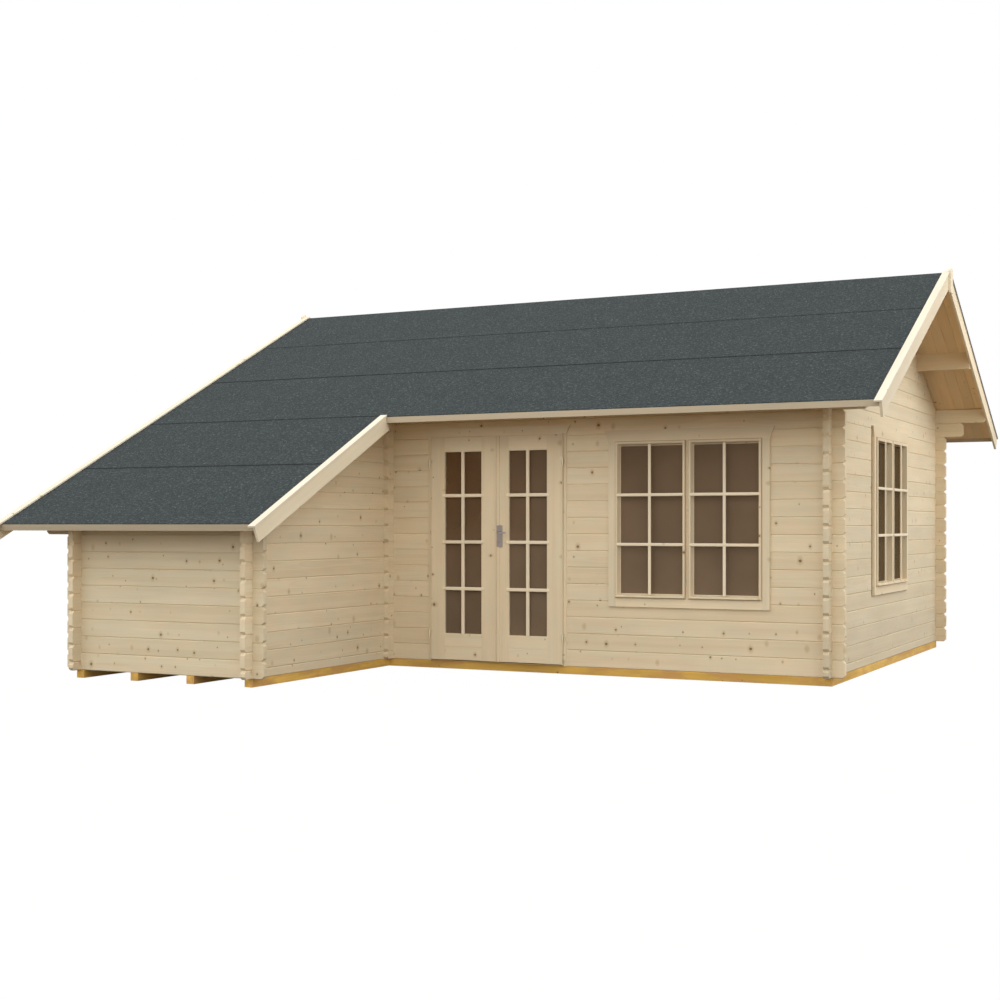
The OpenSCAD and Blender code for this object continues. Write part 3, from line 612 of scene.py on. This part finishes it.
def rectangle(x0, x1, y0, y1):
    return [(x0, y0), (x1, y0), (x1, y1), (x0, y1)]


def sweep(profile, path, right, up):
    # A closed profile carried along a path: point = path + right * profileX + up * profileY.
    # The profile, right and up may differ from station to station
    profile, path = np.asarray(profile, float), np.asarray(path, float)
    right = np.broadcast_to(np.asarray(right, float), path.shape)[:, None]
    up = np.broadcast_to(np.asarray(up, float), path.shape)[:, None]
    profile = np.broadcast_to(profile, (len(path), *profile.shape[-2:]))
    return closedGrid(path[:, None] + right * profile[..., :1] + up * profile[..., 1:])


def outward(obj):
    # Turns the faces of each closed shell outwards
    bm = bmesh.new()
    bm.from_mesh(obj.data)
    bmesh.ops.recalc_face_normals(bm, faces=bm.faces)
    bm.to_mesh(obj.data)
    bm.free()


def piece(name, parts, materials, body, smooth=False, replaced=()):
    # One object from several (points, faces, material index)
    points, faces, kinds, at = [], [], [], 0
    for p, f, kind in parts:
        points.append(p)
        faces += [[i + at for i in face] for face in f]
        kinds += [kind] * len(f)
        at += len(p)
    mesh = bpy.data.meshes.new(name)
    mesh.from_pydata(np.concatenate(points).tolist(), [], faces)
    for m in materials:
        mesh.materials.append(m)
    mesh.polygons.foreach_set("material_index", kinds)
    mesh.polygons.foreach_set("use_smooth", [smooth] * len(faces))
    mesh.update()
    obj = bpy.data.objects.new(name, mesh)
    bpy.context.scene.collection.objects.link(obj)
    outward(obj)
    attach(obj, body)
    if replaced:
        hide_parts(*replaced)
    return obj


glazing = {
    "ease": 0.004,          # at a bar's front edges
    "tip": (0.35, 0.45),    # a tapered end's width and depth, as shares of the bar's
    "tipReach": {"upright": 0.004, "across": 0.010},
    "upOverlap": 0.007,     # how far the upright bars lie over the frame
    "webShare": 0.62,       # width of the web behind a bar
    "webEnd": 0.0004,       # gap at the web's ends, and
    "webBack": 0.0006,      # between the web and the glass
    "webFront": 0.001,
    "seat": 0.0002,         # a bar over a web starts this much in front of the frame
    "inset": 0.004,         # and one without a web this much behind it
}


def straightBar(a, b, width, back, front, outwardDir, taper=0.0):
    # A bar from a to b, square at the back and eased at both front edges. With a taper its last
    # few millimetres thin out
    a, b, outwardDir = (np.asarray(v, float) for v in (a, b, outwardDir))
    way = (b - a) / np.linalg.norm(b - a)
    side = np.cross(way, outwardDir)
    h, ease = width / 2, min(glazing["ease"], width / 5)
    profile = np.array([(-h, -back), (h, -back), (h, front - ease), (h - ease, front),
                        (ease - h, front), (-h, front - ease)])
    if not taper:
        return sweep(profile, [a, b], side, outwardDir)
    slim = profile * glazing["tip"]
    path = [a, a + way * taper, b - way * taper, b]
    return sweep(np.stack([slim, profile, profile, slim]), path, side, outwardDir)


def paneBars(low, high, columns, shares, bar, face, glassFace, overlap, outwardDir, across,
             webbed=True):
    # Bars over one pane of glass. low and high are the pane's corners as (along the wall, height),
    # and shares are the heights of the bars across, as parts of the pane's. face is the frame's
    # outer face and glassFace the glass, both measured along outwardDir. When webbed, each bar
    # also has a narrower web over the glass, which reaches back almost to it
    across, outwardDir = np.asarray(across, float), np.asarray(outwardDir, float)
    (u0, z0), (u1, z1) = low, high
    webBack = face - glassFace - glazing["webBack"]
    proud, inset = window["barProud"], glazing["webEnd"]
    parts = []

    def at(u, z):
        return across * u + np.array([0, 0, z]) + outwardDir * face

    def oneBar(a, b, way, past, back, front, taper, kind):
        way = np.array(way, float)
        if webbed:
            web = straightBar(at(*(a + way * inset)), at(*(b - way * inset)),
                              bar * glazing["webShare"], webBack, glazing["webFront"], outwardDir)
            parts.append((*web, kind))
        whole = straightBar(at(*(a - way * past)), at(*(b + way * past)), bar, back, front,
                            outwardDir, taper)
        parts.append((*whole, kind))

    for i in range(1, columns):
        u = u0 + (u1 - u0) * i / columns
        oneBar(np.array([u, z0]), np.array([u, z1]), (0, 1), glazing["upOverlap"],
               -glazing["seat"] if webbed else glazing["inset"], proud, glazing["tipReach"]["upright"], 0)
    for share in shares:
        z = z0 + (z1 - z0) * share
        oneBar(np.array([u0, z]), np.array([u1, z]), (1, 0), overlap, -glazing["seat"],
               proud + window["barStep"], glazing["tipReach"]["across"], 1)
    return parts


def moulding(low, high, profile, face, outwardDir, across):
    # Four mitred strips round a pane. The profile is (inwards from the edge, outwards from face)
    across, outwardDir = np.asarray(across, float), np.asarray(outwardDir, float)
    rise = np.array([0, 0, 1.0])
    (u0, z0), (u1, z1) = low, high
    corners = [(u0, z0, 1, 1), (u1, z0, -1, 1), (u1, z1, -1, -1), (u0, z1, 1, -1)]
    parts = []
    for i in range(4):
        ends = [corners[i], corners[(i + 1) % 4]]
        path = [across * u + rise * z + outwardDir * face for u, z, a, b in ends]
        right = [across * a + rise * b for u, z, a, b in ends]
        parts.append((*sweep(profile, path, right, outwardDir), (i + 1) % 2))
    return parts


leafSeal = {                # pale strip in the gap round the two leaves
    "gap": 0.006,
    "thick": 0.0052,
    "back": 0.0022,         # behind the leaves' face
    "deep": 0.030,
    "meetingDeep": 0.017,   # the strip on the right leaf's meeting edge
    "meetingOver": 0.001,   # past the leaf's edge, into the leaf
    "meetingProud": 0.002,  # in front of the other strips
    "meetingShort": 0.002,  # at each end
}


def sealRound():
    # Three strips, on the two jambs and under the head, that fill most of the gap
    thick, deep, short = leafSeal["thick"], leafSeal["deep"], leafSeal["meetingShort"]
    left, right = doorLeft[0].x - leafSeal["gap"], doorRight[1].x + leafSeal["gap"]
    foot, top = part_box("threshold")[1].z, doorLeft[1].z + leafSeal["gap"]
    front = doorLeft[0].y + leafSeal["back"]
    section = rectangle(0, thick, 0, deep)
    parts = [(*sweep(section, [(x, front, foot), (x, front, top)], (inwards, 0, 0), (0, 1, 0)), 0)
             for x, inwards in ((left, 1), (right, -1))]
    ends = [(left + thick, front, top), (right - thick, front, top)]
    parts.append((*sweep(section, ends, (0, 0, -1), (0, 1, 0)), 0))
    piece("leafSeal", parts, [uprightWood], "cabin")

    # and one on the right leaf's meeting edge
    edge = doorRight[0].x + leafSeal["meetingOver"]
    ends = [(edge, front - leafSeal["meetingProud"], z)
            for z in (doorRight[0].z + short, doorLeft[1].z - short)]
    section = rectangle(0, thick, 0, leafSeal["meetingDeep"])
    parts = [(*sweep(section, ends, (-1, 0, 0), (0, 1, 0)), 0)]
    piece("meetingSeal", parts, [uprightWood], "right_door")


sealRound()

doorBars = {
    "bar": 0.028,
    "overlap": 0.024,
    "columns": 2,
    "heights": [0.2475, 0.504, 0.7595],    # of the bars across, as parts of the pane's height
}
for side, pane in (("Left", paneLeft), ("Right", paneRight)):
    parts = paneBars((pane[0].x, pane[0].z), (pane[1].x, pane[1].z), doorBars["columns"],
                     doorBars["heights"], doorBars["bar"], -doorLeft[0].y, -pane[0].y,
                     doorBars["overlap"], (0, -1, 0), (1, 0, 0))
    piece("doorBars" + side, parts, [barUpright, barAcross], side.lower() + "_door")


def sashProfile(shape):
    # Section of a sash rail: eased at the outer edges, and sloping down to the glass inside
    flat, slope, deep = shape["flat"], shape["slope"], shape["deep"]
    seen, ease, back = flat + slope, window["ease"], window["sashThick"]
    return [(0, -back), (0, -ease), (ease, 0), (flat - ease, 0), (flat, -0.001),
            (flat + 0.3 * slope, -0.36 * deep), (seen - 0.17 * slope, -0.88 * deep),
            (seen, 0.0003 - deep), (seen + 0.003, 0.0002 - deep), (seen + 0.003, -back)]


def windowPieces(side, sash, mid, across, out, face, barWoods, sashWoods, paneGlass):
    shape = window[side]
    glassFace, seen = face - shape["deep"], shape["flat"] + shape["slope"]
    acrossDir, outDir = np.array(across, float), np.array(out, float)
    z0, z1 = sash[0].z, sash[1].z
    shares = [j / window["rows"] for j in range(1, window["rows"])]
    edge, lip = window["glassEdge"], 0.0005
    nearDepth, farDepth = window["stripDepths"]
    stripSection = [(0.0002, -farDepth), (0.0002, -nearDepth), (-window["stripWidth"], -nearDepth),
                   (-window["stripWidth"], -farDepth)]
    bars, panes, rails, sashStrips = [], [], [], []
    for centre in sashMids:
        u0, u1 = mid + centre - sashHalf, mid + centre + sashHalf
        low, high = (u0 + seen, z0 + seen), (u1 - seen, z1 - seen)
        bars += paneBars(low, high, 2, shares, window["bar"], face, glassFace, window["overlap"],
                         out, across, webbed=False)
        foot = acrossDir * (u0 + u1) / 2 + outDir * (glassFace - window["glass"])
        w = (high[0] - low[0]) / 2 + edge
        ends = [foot + [0, 0, z] for z in (low[1] - edge, high[1] + edge)]
        panes.append((*sweep(rectangle(-w, w, 0, window["glass"]), ends, acrossDir, outDir), 0))
        rails += moulding((u0, z0), (u1, z1), sashProfile(shape), face, out, across)
        ends = [acrossDir * u + np.array([0, 0, z0 + window["dripLift"]]) + outDir * face
                for u in (u0 + window["dripInset"], u1 - window["dripInset"])]
        rails.append((*sweep(window["drip"], ends, (0, 0, 1), outDir), 1))
        sashStrips += moulding((u0 - lip, z0 - lip), (u1 + lip, z1 + lip), stripSection, face, out, across)
    piece(side + "WindowBars", bars, barWoods, "cabin")
    piece(side + "WindowPanes", panes, [paneGlass], "cabin", replaced=[side + "_window_glass"])
    piece(side + "WindowSashes", rails, sashWoods, "cabin", replaced=[side + "_window_sashes"])
    piece(side + "WindowStrip", sashStrips, [stripFinish, stripFinish], "cabin")


windowPieces("front", frontSash, frontMid, (1, 0, 0), (0, -1, 0), window["proud"] - frontY,
             [barUpright, barAcross], [uprightWood, acrossWood], glass)
windowPieces("gable", gableSash, gableMid, (0, 1, 0), (1, 0, 0), rightX + window["proud"],
             [barUprightSide, barDeep], [uprightSideWood, deepWood], sideGlass)

# Painted shadow lines: dark strips along the gable casing's front and lower edges
casingShadowStrips = {
    "side": 0.002,          # width along the front edge
    "below": 0.005,         # and along the lower one
    "proud": 0.006,
    "back": 0.0178,         # behind the casing's outer face
}


def shadowStripsRound():
    low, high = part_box("gable_window_frame")
    x, proud = high.x - casingShadowStrips["back"], casingShadowStrips["proud"]
    parts = []
    for width, right, ends in (
            (casingShadowStrips["side"], (0, -1, 0), [(x, low.y, low.z - casingShadowStrips["below"]), (x, low.y, high.z)]),
            (casingShadowStrips["below"], (0, 0, -1), [(x, low.y, low.z), (x, high.y, low.z)])):
        parts.append((*sweep(rectangle(0, width, 0, proud), ends, right, (1, 0, 0)), 0))
    piece("gableCasingShadowStrips", parts, [shadowStripFinish], "cabin")


shadowStripsRound()
print("glazing bars, sashes and seals made")

handle = {
    "plateMiddle": 0.025,   # from the handle's left end
    "plateWidth": 0.0495,
    "plateCorner": 0.009,
    "plateDepth": 0.0085,
    "plateEdge": [(0.0002, 0.0), (0.0051, 0.0), (0.00731, 0.0006), (0.0085, 0.0022), (0.0085, 0.004)],
    "neck": [(-0.001, 0.0125), (0.004, 0.0125), (0.0058, 0.0112), (0.0062, 0.0088), (0.02, 0.0082)],
    "leverHeight": 0.122,   # above the plate's foot
    "leverThick": 0.0155,
    "leverBend": 0.014,
    "leverSwing": 0.006,    # how far the tip turns back to the door
    "leverSection": (0.72, 1.08),    # depth and height, as shares of the thickness
    "leverTaper": 0.22,
    "leverTip": (0.93, 0.55),
    "keyHeight": 0.040,
    "cylinder": [(-0.001, 0.0085), (0.0024, 0.0085), (0.003, 0.0078)],
    "keySlot": (0.0026, 0.0095, 0.0012),
    "keySlotDepths": (0.0022, 0.0032),
}


def roundedPlate(width, height, corner, steps=7):
    # Outline of a rectangle with quarter circles at its corners, about its centre
    turn = np.linspace(0, math.pi / 2, steps)
    outline = []
    for i, (sx, sz) in enumerate(((1, 1), (-1, 1), (-1, -1), (1, -1))):
        a = turn + i * math.pi / 2
        outline.append(np.stack([sx * (width / 2 - corner) + corner * np.cos(a),
                                 sz * (height / 2 - corner) + corner * np.sin(a)], axis=-1))
    return np.concatenate(outline)


def doorHandle():
    # A long plate with eased edges, a neck and a lever that turns off it and back to the door,
    # and a key cylinder. Every section is a ring; the lever's rings follow a bent centre line
    low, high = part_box("door_handle")
    plateX, faceY, d = low.x + handle["plateMiddle"], high.y, handle["plateDepth"]
    leverZ, keyZ = low.z + handle["leverHeight"], low.z + handle["keyHeight"]
    a = np.linspace(0, 2 * math.pi, 28, endpoint=False)
    circle = np.stack([np.cos(a), np.sin(a)], axis=-1)

    def ring(shape, z, depth, inset=0.0):
        size = np.linalg.norm(shape, axis=1, keepdims=True)
        flat = shape * (1 - inset / size)
        deepY = np.full(len(flat), faceY - depth)
        return np.stack([plateX + flat[:, 0], deepY, z + flat[:, 1]], axis=-1)

    outline = roundedPlate(handle["plateWidth"], high.z - low.z, handle["plateCorner"])
    slot = roundedPlate(*handle["keySlot"], 4)
    parts = [
        (*closedGrid([ring(outline, (low.z + high.z) / 2, at, inset)
                      for at, inset in handle["plateEdge"]]), 0),
        (*closedGrid([ring(circle * r, leverZ, d + at) for at, r in handle["neck"]]), 0),
        (*closedGrid([ring(circle * r, keyZ, d + at) for at, r in handle["cylinder"]]), 0),
        # the key slot: a near-black patch of painted shade on the cylinder's face
        (*closedGrid([ring(slot, keyZ, d + at) for at in handle["keySlotDepths"]]), 1),
    ]
    # the lever's centre line, as (to the right, out from the door): out from the plate, round a
    # bend, along to the right and slightly back at the tip
    out = high.y - low.y - handle["leverThick"] / 2 - 0.001
    reach, bend = high.x - plateX, handle["leverBend"]
    quarter = np.linspace(0, math.pi / 2, 9)[1:]
    arm = np.linspace(bend, reach - 0.004, 9)[1:]
    centre = np.concatenate([
        [(0.0, d + 0.003), (0.0, out - bend)],
        np.stack([bend - bend * np.cos(quarter), out - bend + bend * np.sin(quarter)], axis=-1),
        np.stack([arm, out - handle["leverSwing"] * ((arm - bend) / (reach - bend)) ** 3], axis=-1)])
    along = np.gradient(centre, axis=0)
    along /= np.linalg.norm(along, axis=1, keepdims=True)
    thick = handle["leverThick"] / 2 * (1 - handle["leverTaper"] * np.linspace(0, 1, len(centre)))
    thick[-2:] *= handle["leverTip"]
    deepBy, highBy = (thick[:, None] * share for share in handle["leverSection"])
    middle = np.stack([plateX + centre[:, 0], faceY - centre[:, 1],
                       np.full(len(centre), leverZ)], axis=-1)
    sideways = np.stack([along[:, 1], along[:, 0], np.zeros(len(along))], axis=-1)
    rings = middle[:, None] + circle[:, :1] * (sideways * deepBy)[:, None]
    rings = rings + circle[:, 1:] * (highBy * np.array([0, 0, 1.0]))[:, None]
    parts.append((*closedGrid(rings), 0))
    piece("leverHandle", parts, [metal, keyholeShade], "right_door", True, ["door_handle"])


doorHandle()
print("door handle made")

roofing = {
    "board": 0.019,
    "thickness": 0.005,     # at a lap, where two sheets lie on each other
    "single": 0.0026,       # one sheet
    "lapReach": 0.09,       # over this length the sheet rises over the one under it
    "laps": [0.828, 1.663, 2.569, 3.437],    # lower edges of the sheets, on plan from the ridge
    # the painted shadow at the laps: how dark it is at each, and its width
    "lapShadows": [0.55, 1.0, 0.92, 1.0],         # how dark the line at each lap is
    "lapShadowWidth": 0.0058,
    "stations": (-0.05, -0.02, -0.0035, -0.0008, 0.0, 0.003, 0.012),    # cuts about a lap's edge
    "step": 0.06,           # and between laps
    "columnStep": 0.12,
    "wave": 0.0005,
}
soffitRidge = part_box("roof_felt_back")[1].z - (roofing["board"] + roofing["thickness"]) / cosP


def feltSheet(name, node, eaveCorner, side):
    # The top of the felt is a function of the distance s down the slope and of x: one sheet thick,
    # rising to two over the last centimetres before each lap edge and dropping sharply below it,
    # plus a slight unevenness made of a few long sine waves. Its under side lies on the boards
    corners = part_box(node)
    x0, x1, eaveReach = corners[0].x, corners[1].x, side * (corners[eaveCorner].y - ridgeY)
    single, double, lapReach = roofing["single"], roofing["thickness"], roofing["lapReach"]
    laps = [s for s in roofing["laps"] if s < eaveReach - 0.05]
    marks = [0.0, eaveReach, *np.linspace(0, eaveReach, int(eaveReach / roofing["step"]))]
    for lap in laps:
        marks += [lap - lapReach] + [lap + d for d in roofing["stations"]]
    s = np.array(sorted(set(marks)))
    thick = np.full(len(s), single)
    # painted shadow along each lap's lower edge, kept as the lap attribute
    lapShadow = np.zeros(len(s))
    for lap, line in zip(laps, roofing["lapShadows"]):
        rise = np.clip((s - (lap - lapReach)) / lapReach, 0, 1)
        thick = np.where(s < lap - 0.0004, np.maximum(thick, single + (double - single) * rise), thick)
        lapShadow = np.maximum(lapShadow, line * np.exp(-((s - lap - 0.001) / roofing["lapShadowWidth"]) ** 2))
    thick[-2:] = double
    x = np.linspace(x0, x1, max(8, int((x1 - x0) / roofing["columnStep"])))
    atX, atS = np.meshgrid(x, s, indexing="ij")
    wave = (np.sin(2.1 * atX + 1.7 * atS) + np.sin(3.9 * atX - 2.6 * atS + 1.3)
            + np.sin(0.9 * atX + 5.2 * atS + 0.4))
    wave = roofing["wave"] / 3 * wave * np.minimum(1, np.minimum(atS, eaveReach - atS) / 0.1)
    y = ridgeY + side * atS
    base = soffitRidge - atS * math.tan(cabin["pitch"]) + roofing["board"] / cosP + 0.0001
    top = np.stack([atX, y, base + np.minimum(thick + wave, double) / cosP], axis=-1)
    rings = np.concatenate([top, np.stack([atX, y, base], axis=-1)[:, ::-1]], axis=1)
    count, m = rings.shape[1], len(s)
    faces = gridFaces(len(x), count)
    for first in (0, (len(x) - 1) * count):     # the two cut ends, in strips
        faces += [[first + i, first + i + 1, first + count - 2 - i, first + count - 1 - i]
                  for i in range(m - 1)]
    obj = piece(name, [(rings.reshape(-1, 3), faces, 0)], [felt], "cabin", replaced=[node])
    values = np.tile(np.concatenate([lapShadow, lapShadow[::-1]]), len(x))
    obj.data.attributes.new("lap", "FLOAT", "POINT").data.foreach_set("value", values)


feltSheet("feltFront", "roof_felt_front", 0, -1)
feltSheet("feltStore", "roof_felt_store", 0, -1)
feltSheet("feltBack", "roof_felt_back", 1, 1)

verge = {
    "start": 0.055,         # down the slope from the ridge
    "end": 0.001,           # short of the eave
    "inwards": 0.018,       # reach over the cap board's top
    "drop": 0.0135,         # and down its edge
    "skin": (0.0004, 0.0024),    # the turned-down part's inner and outer face, from the edge
    "lift": (0.0003, 0.0023),    # the flat part's under and upper face, above the board
}


def vergeFelt():
    # On the back slope the felt is turned down over the outer edge of each cap board
    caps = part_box("barge_caps_back")
    down, normal = np.array([0, cosP, -sinP]), np.array([0, sinP, cosP])
    length = (caps[1].y - ridgeY) / cosP - verge["end"]
    inwards, drop = -verge["inwards"], -verge["drop"]
    (inner, outer), (under, over) = verge["skin"], verge["lift"]
    profile = [(inwards, under), (inner, under), (inner, drop), (outer, drop), (outer, over),
               (inwards, over)]
    parts = []
    for side, x in ((-1, caps[0].x), (1, caps[1].x)):
        ridge = np.array([x, ridgeY, caps[1].z])
        ends = [ridge + down * at for at in (verge["start"], length)]
        parts.append((*sweep(profile, ends, (side, 0, 0), normal), 0))
    obj = piece("vergeFelt", parts, [felt], "cabin")
    obj.data.attributes.new("lap", "FLOAT", "POINT")


vergeFelt()
print("felt laid")

studioLight = {
    "floor": (0.13, 0.107, 0.080),
    "floorReach": 60.0,
    "glow": 1.055,          # makes the floor white where it is seen, and
    "glowShare": 0.94,      # leaves this much less than all of it, for the shadow
    "sky": (1.0, 0.99, 0.965),
    "level": 1.67,          # sky strength at the horizon
    "overhead": 1.36,
    "lamp": 16.0,
    "lampColour": (1.0, 0.985, 0.95),
    "lampSize": 2.0,
    "lampPlace": (2.15, 1.6, 3.3),    # from the right gable and the ridge, above the floor
    "lampAim": 2.4,         # height on the gable
}


def studio():
    scene = bpy.context.scene
    r = studioLight["floorReach"]
    mesh = bpy.data.meshes.new("studioFloor")
    mesh.from_pydata([(-r, -r, 0), (r, -r, 0), (r, r, 0), (-r, r, 0)], [], [(0, 1, 2, 3)])
    floor = bpy.data.objects.new("studioFloor", mesh)
    scene.collection.objects.link(floor)
    n = Finish("paleFloor")
    n.set("Base Color", (*studioLight["floor"], 1))
    n.set("Roughness", 0.9)
    glow = n.add("Emission")
    glow.inputs[0].default_value = (1, 1, 1, 1)
    glow.inputs[1].default_value = studioLight["glow"]
    share = n.times(n.seen(), studioLight["glowShare"])
    n.put(n.out.inputs[0], n.mixed(share, n.bsdf.outputs[0], glow.outputs[0]))
    mesh.materials.append(n.mat)

    world = bpy.data.worlds.new("softSky")
    scene.world = world
    world.use_nodes = True
    n = Nodes(world.node_tree)
    sky, white = n.add("Background"), n.add("Background")
    sky.inputs[0].default_value = (*studioLight["sky"], 1)
    white.inputs[0].default_value = (1, 1, 1, 1)
    # the light falls off from the level towards straight up, as under a low ring of soft lamps
    down = n.along(n.add("NewGeometry").outputs["Incoming"], (0, 0, 1))
    n.put(sky.inputs[1], n.ramp(down, 0.0, -1.0, studioLight["level"], studioLight["overhead"], False))
    n.put(n.add("OutputWorld").inputs[0], n.mixed(n.seen(), sky.outputs[0], white.outputs[0]))

    lamp = bpy.data.lights.new("sideLamp", "AREA")
    lamp.energy = studioLight["lamp"]
    lamp.shape = "DISK"
    lamp.size = studioLight["lampSize"]
    lamp.color = studioLight["lampColour"]
    side = bpy.data.objects.new("sideLamp", lamp)
    side.location = Vector((rightX, ridgeY, 0)) + Vector(studioLight["lampPlace"])
    aim = Vector((rightX, ridgeY, studioLight["lampAim"])) - side.location
    side.rotation_euler = aim.to_track_quat("-Z", "Y").to_euler()
    scene.collection.objects.link(side)


viewpoint = {
    "lens": 54.889,
    "shift": 0.0248,
    # from the right gable and the front wall, above the beams
    "place": (2.8841, -11.4004, 1.1566),
    "turn": math.radians(26.478),
}


def camera():
    cam = bpy.data.cameras.new("camera")
    cam.sensor_width = 36.0
    cam.lens = viewpoint["lens"]
    cam.shift_y = viewpoint["shift"]
    cam.clip_end = 300.0
    obj = bpy.data.objects.new("camera", cam)
    obj.location = Vector((rightX, frontY, beamTop)) + Vector(viewpoint["place"])
    obj.rotation_euler = (math.pi / 2, 0, viewpoint["turn"])
    bpy.context.scene.collection.objects.link(obj)
    bpy.context.scene.camera = obj


studio()
camera()
bpy.context.scene.view_settings.view_transform = "Standard"
print("studio ready")
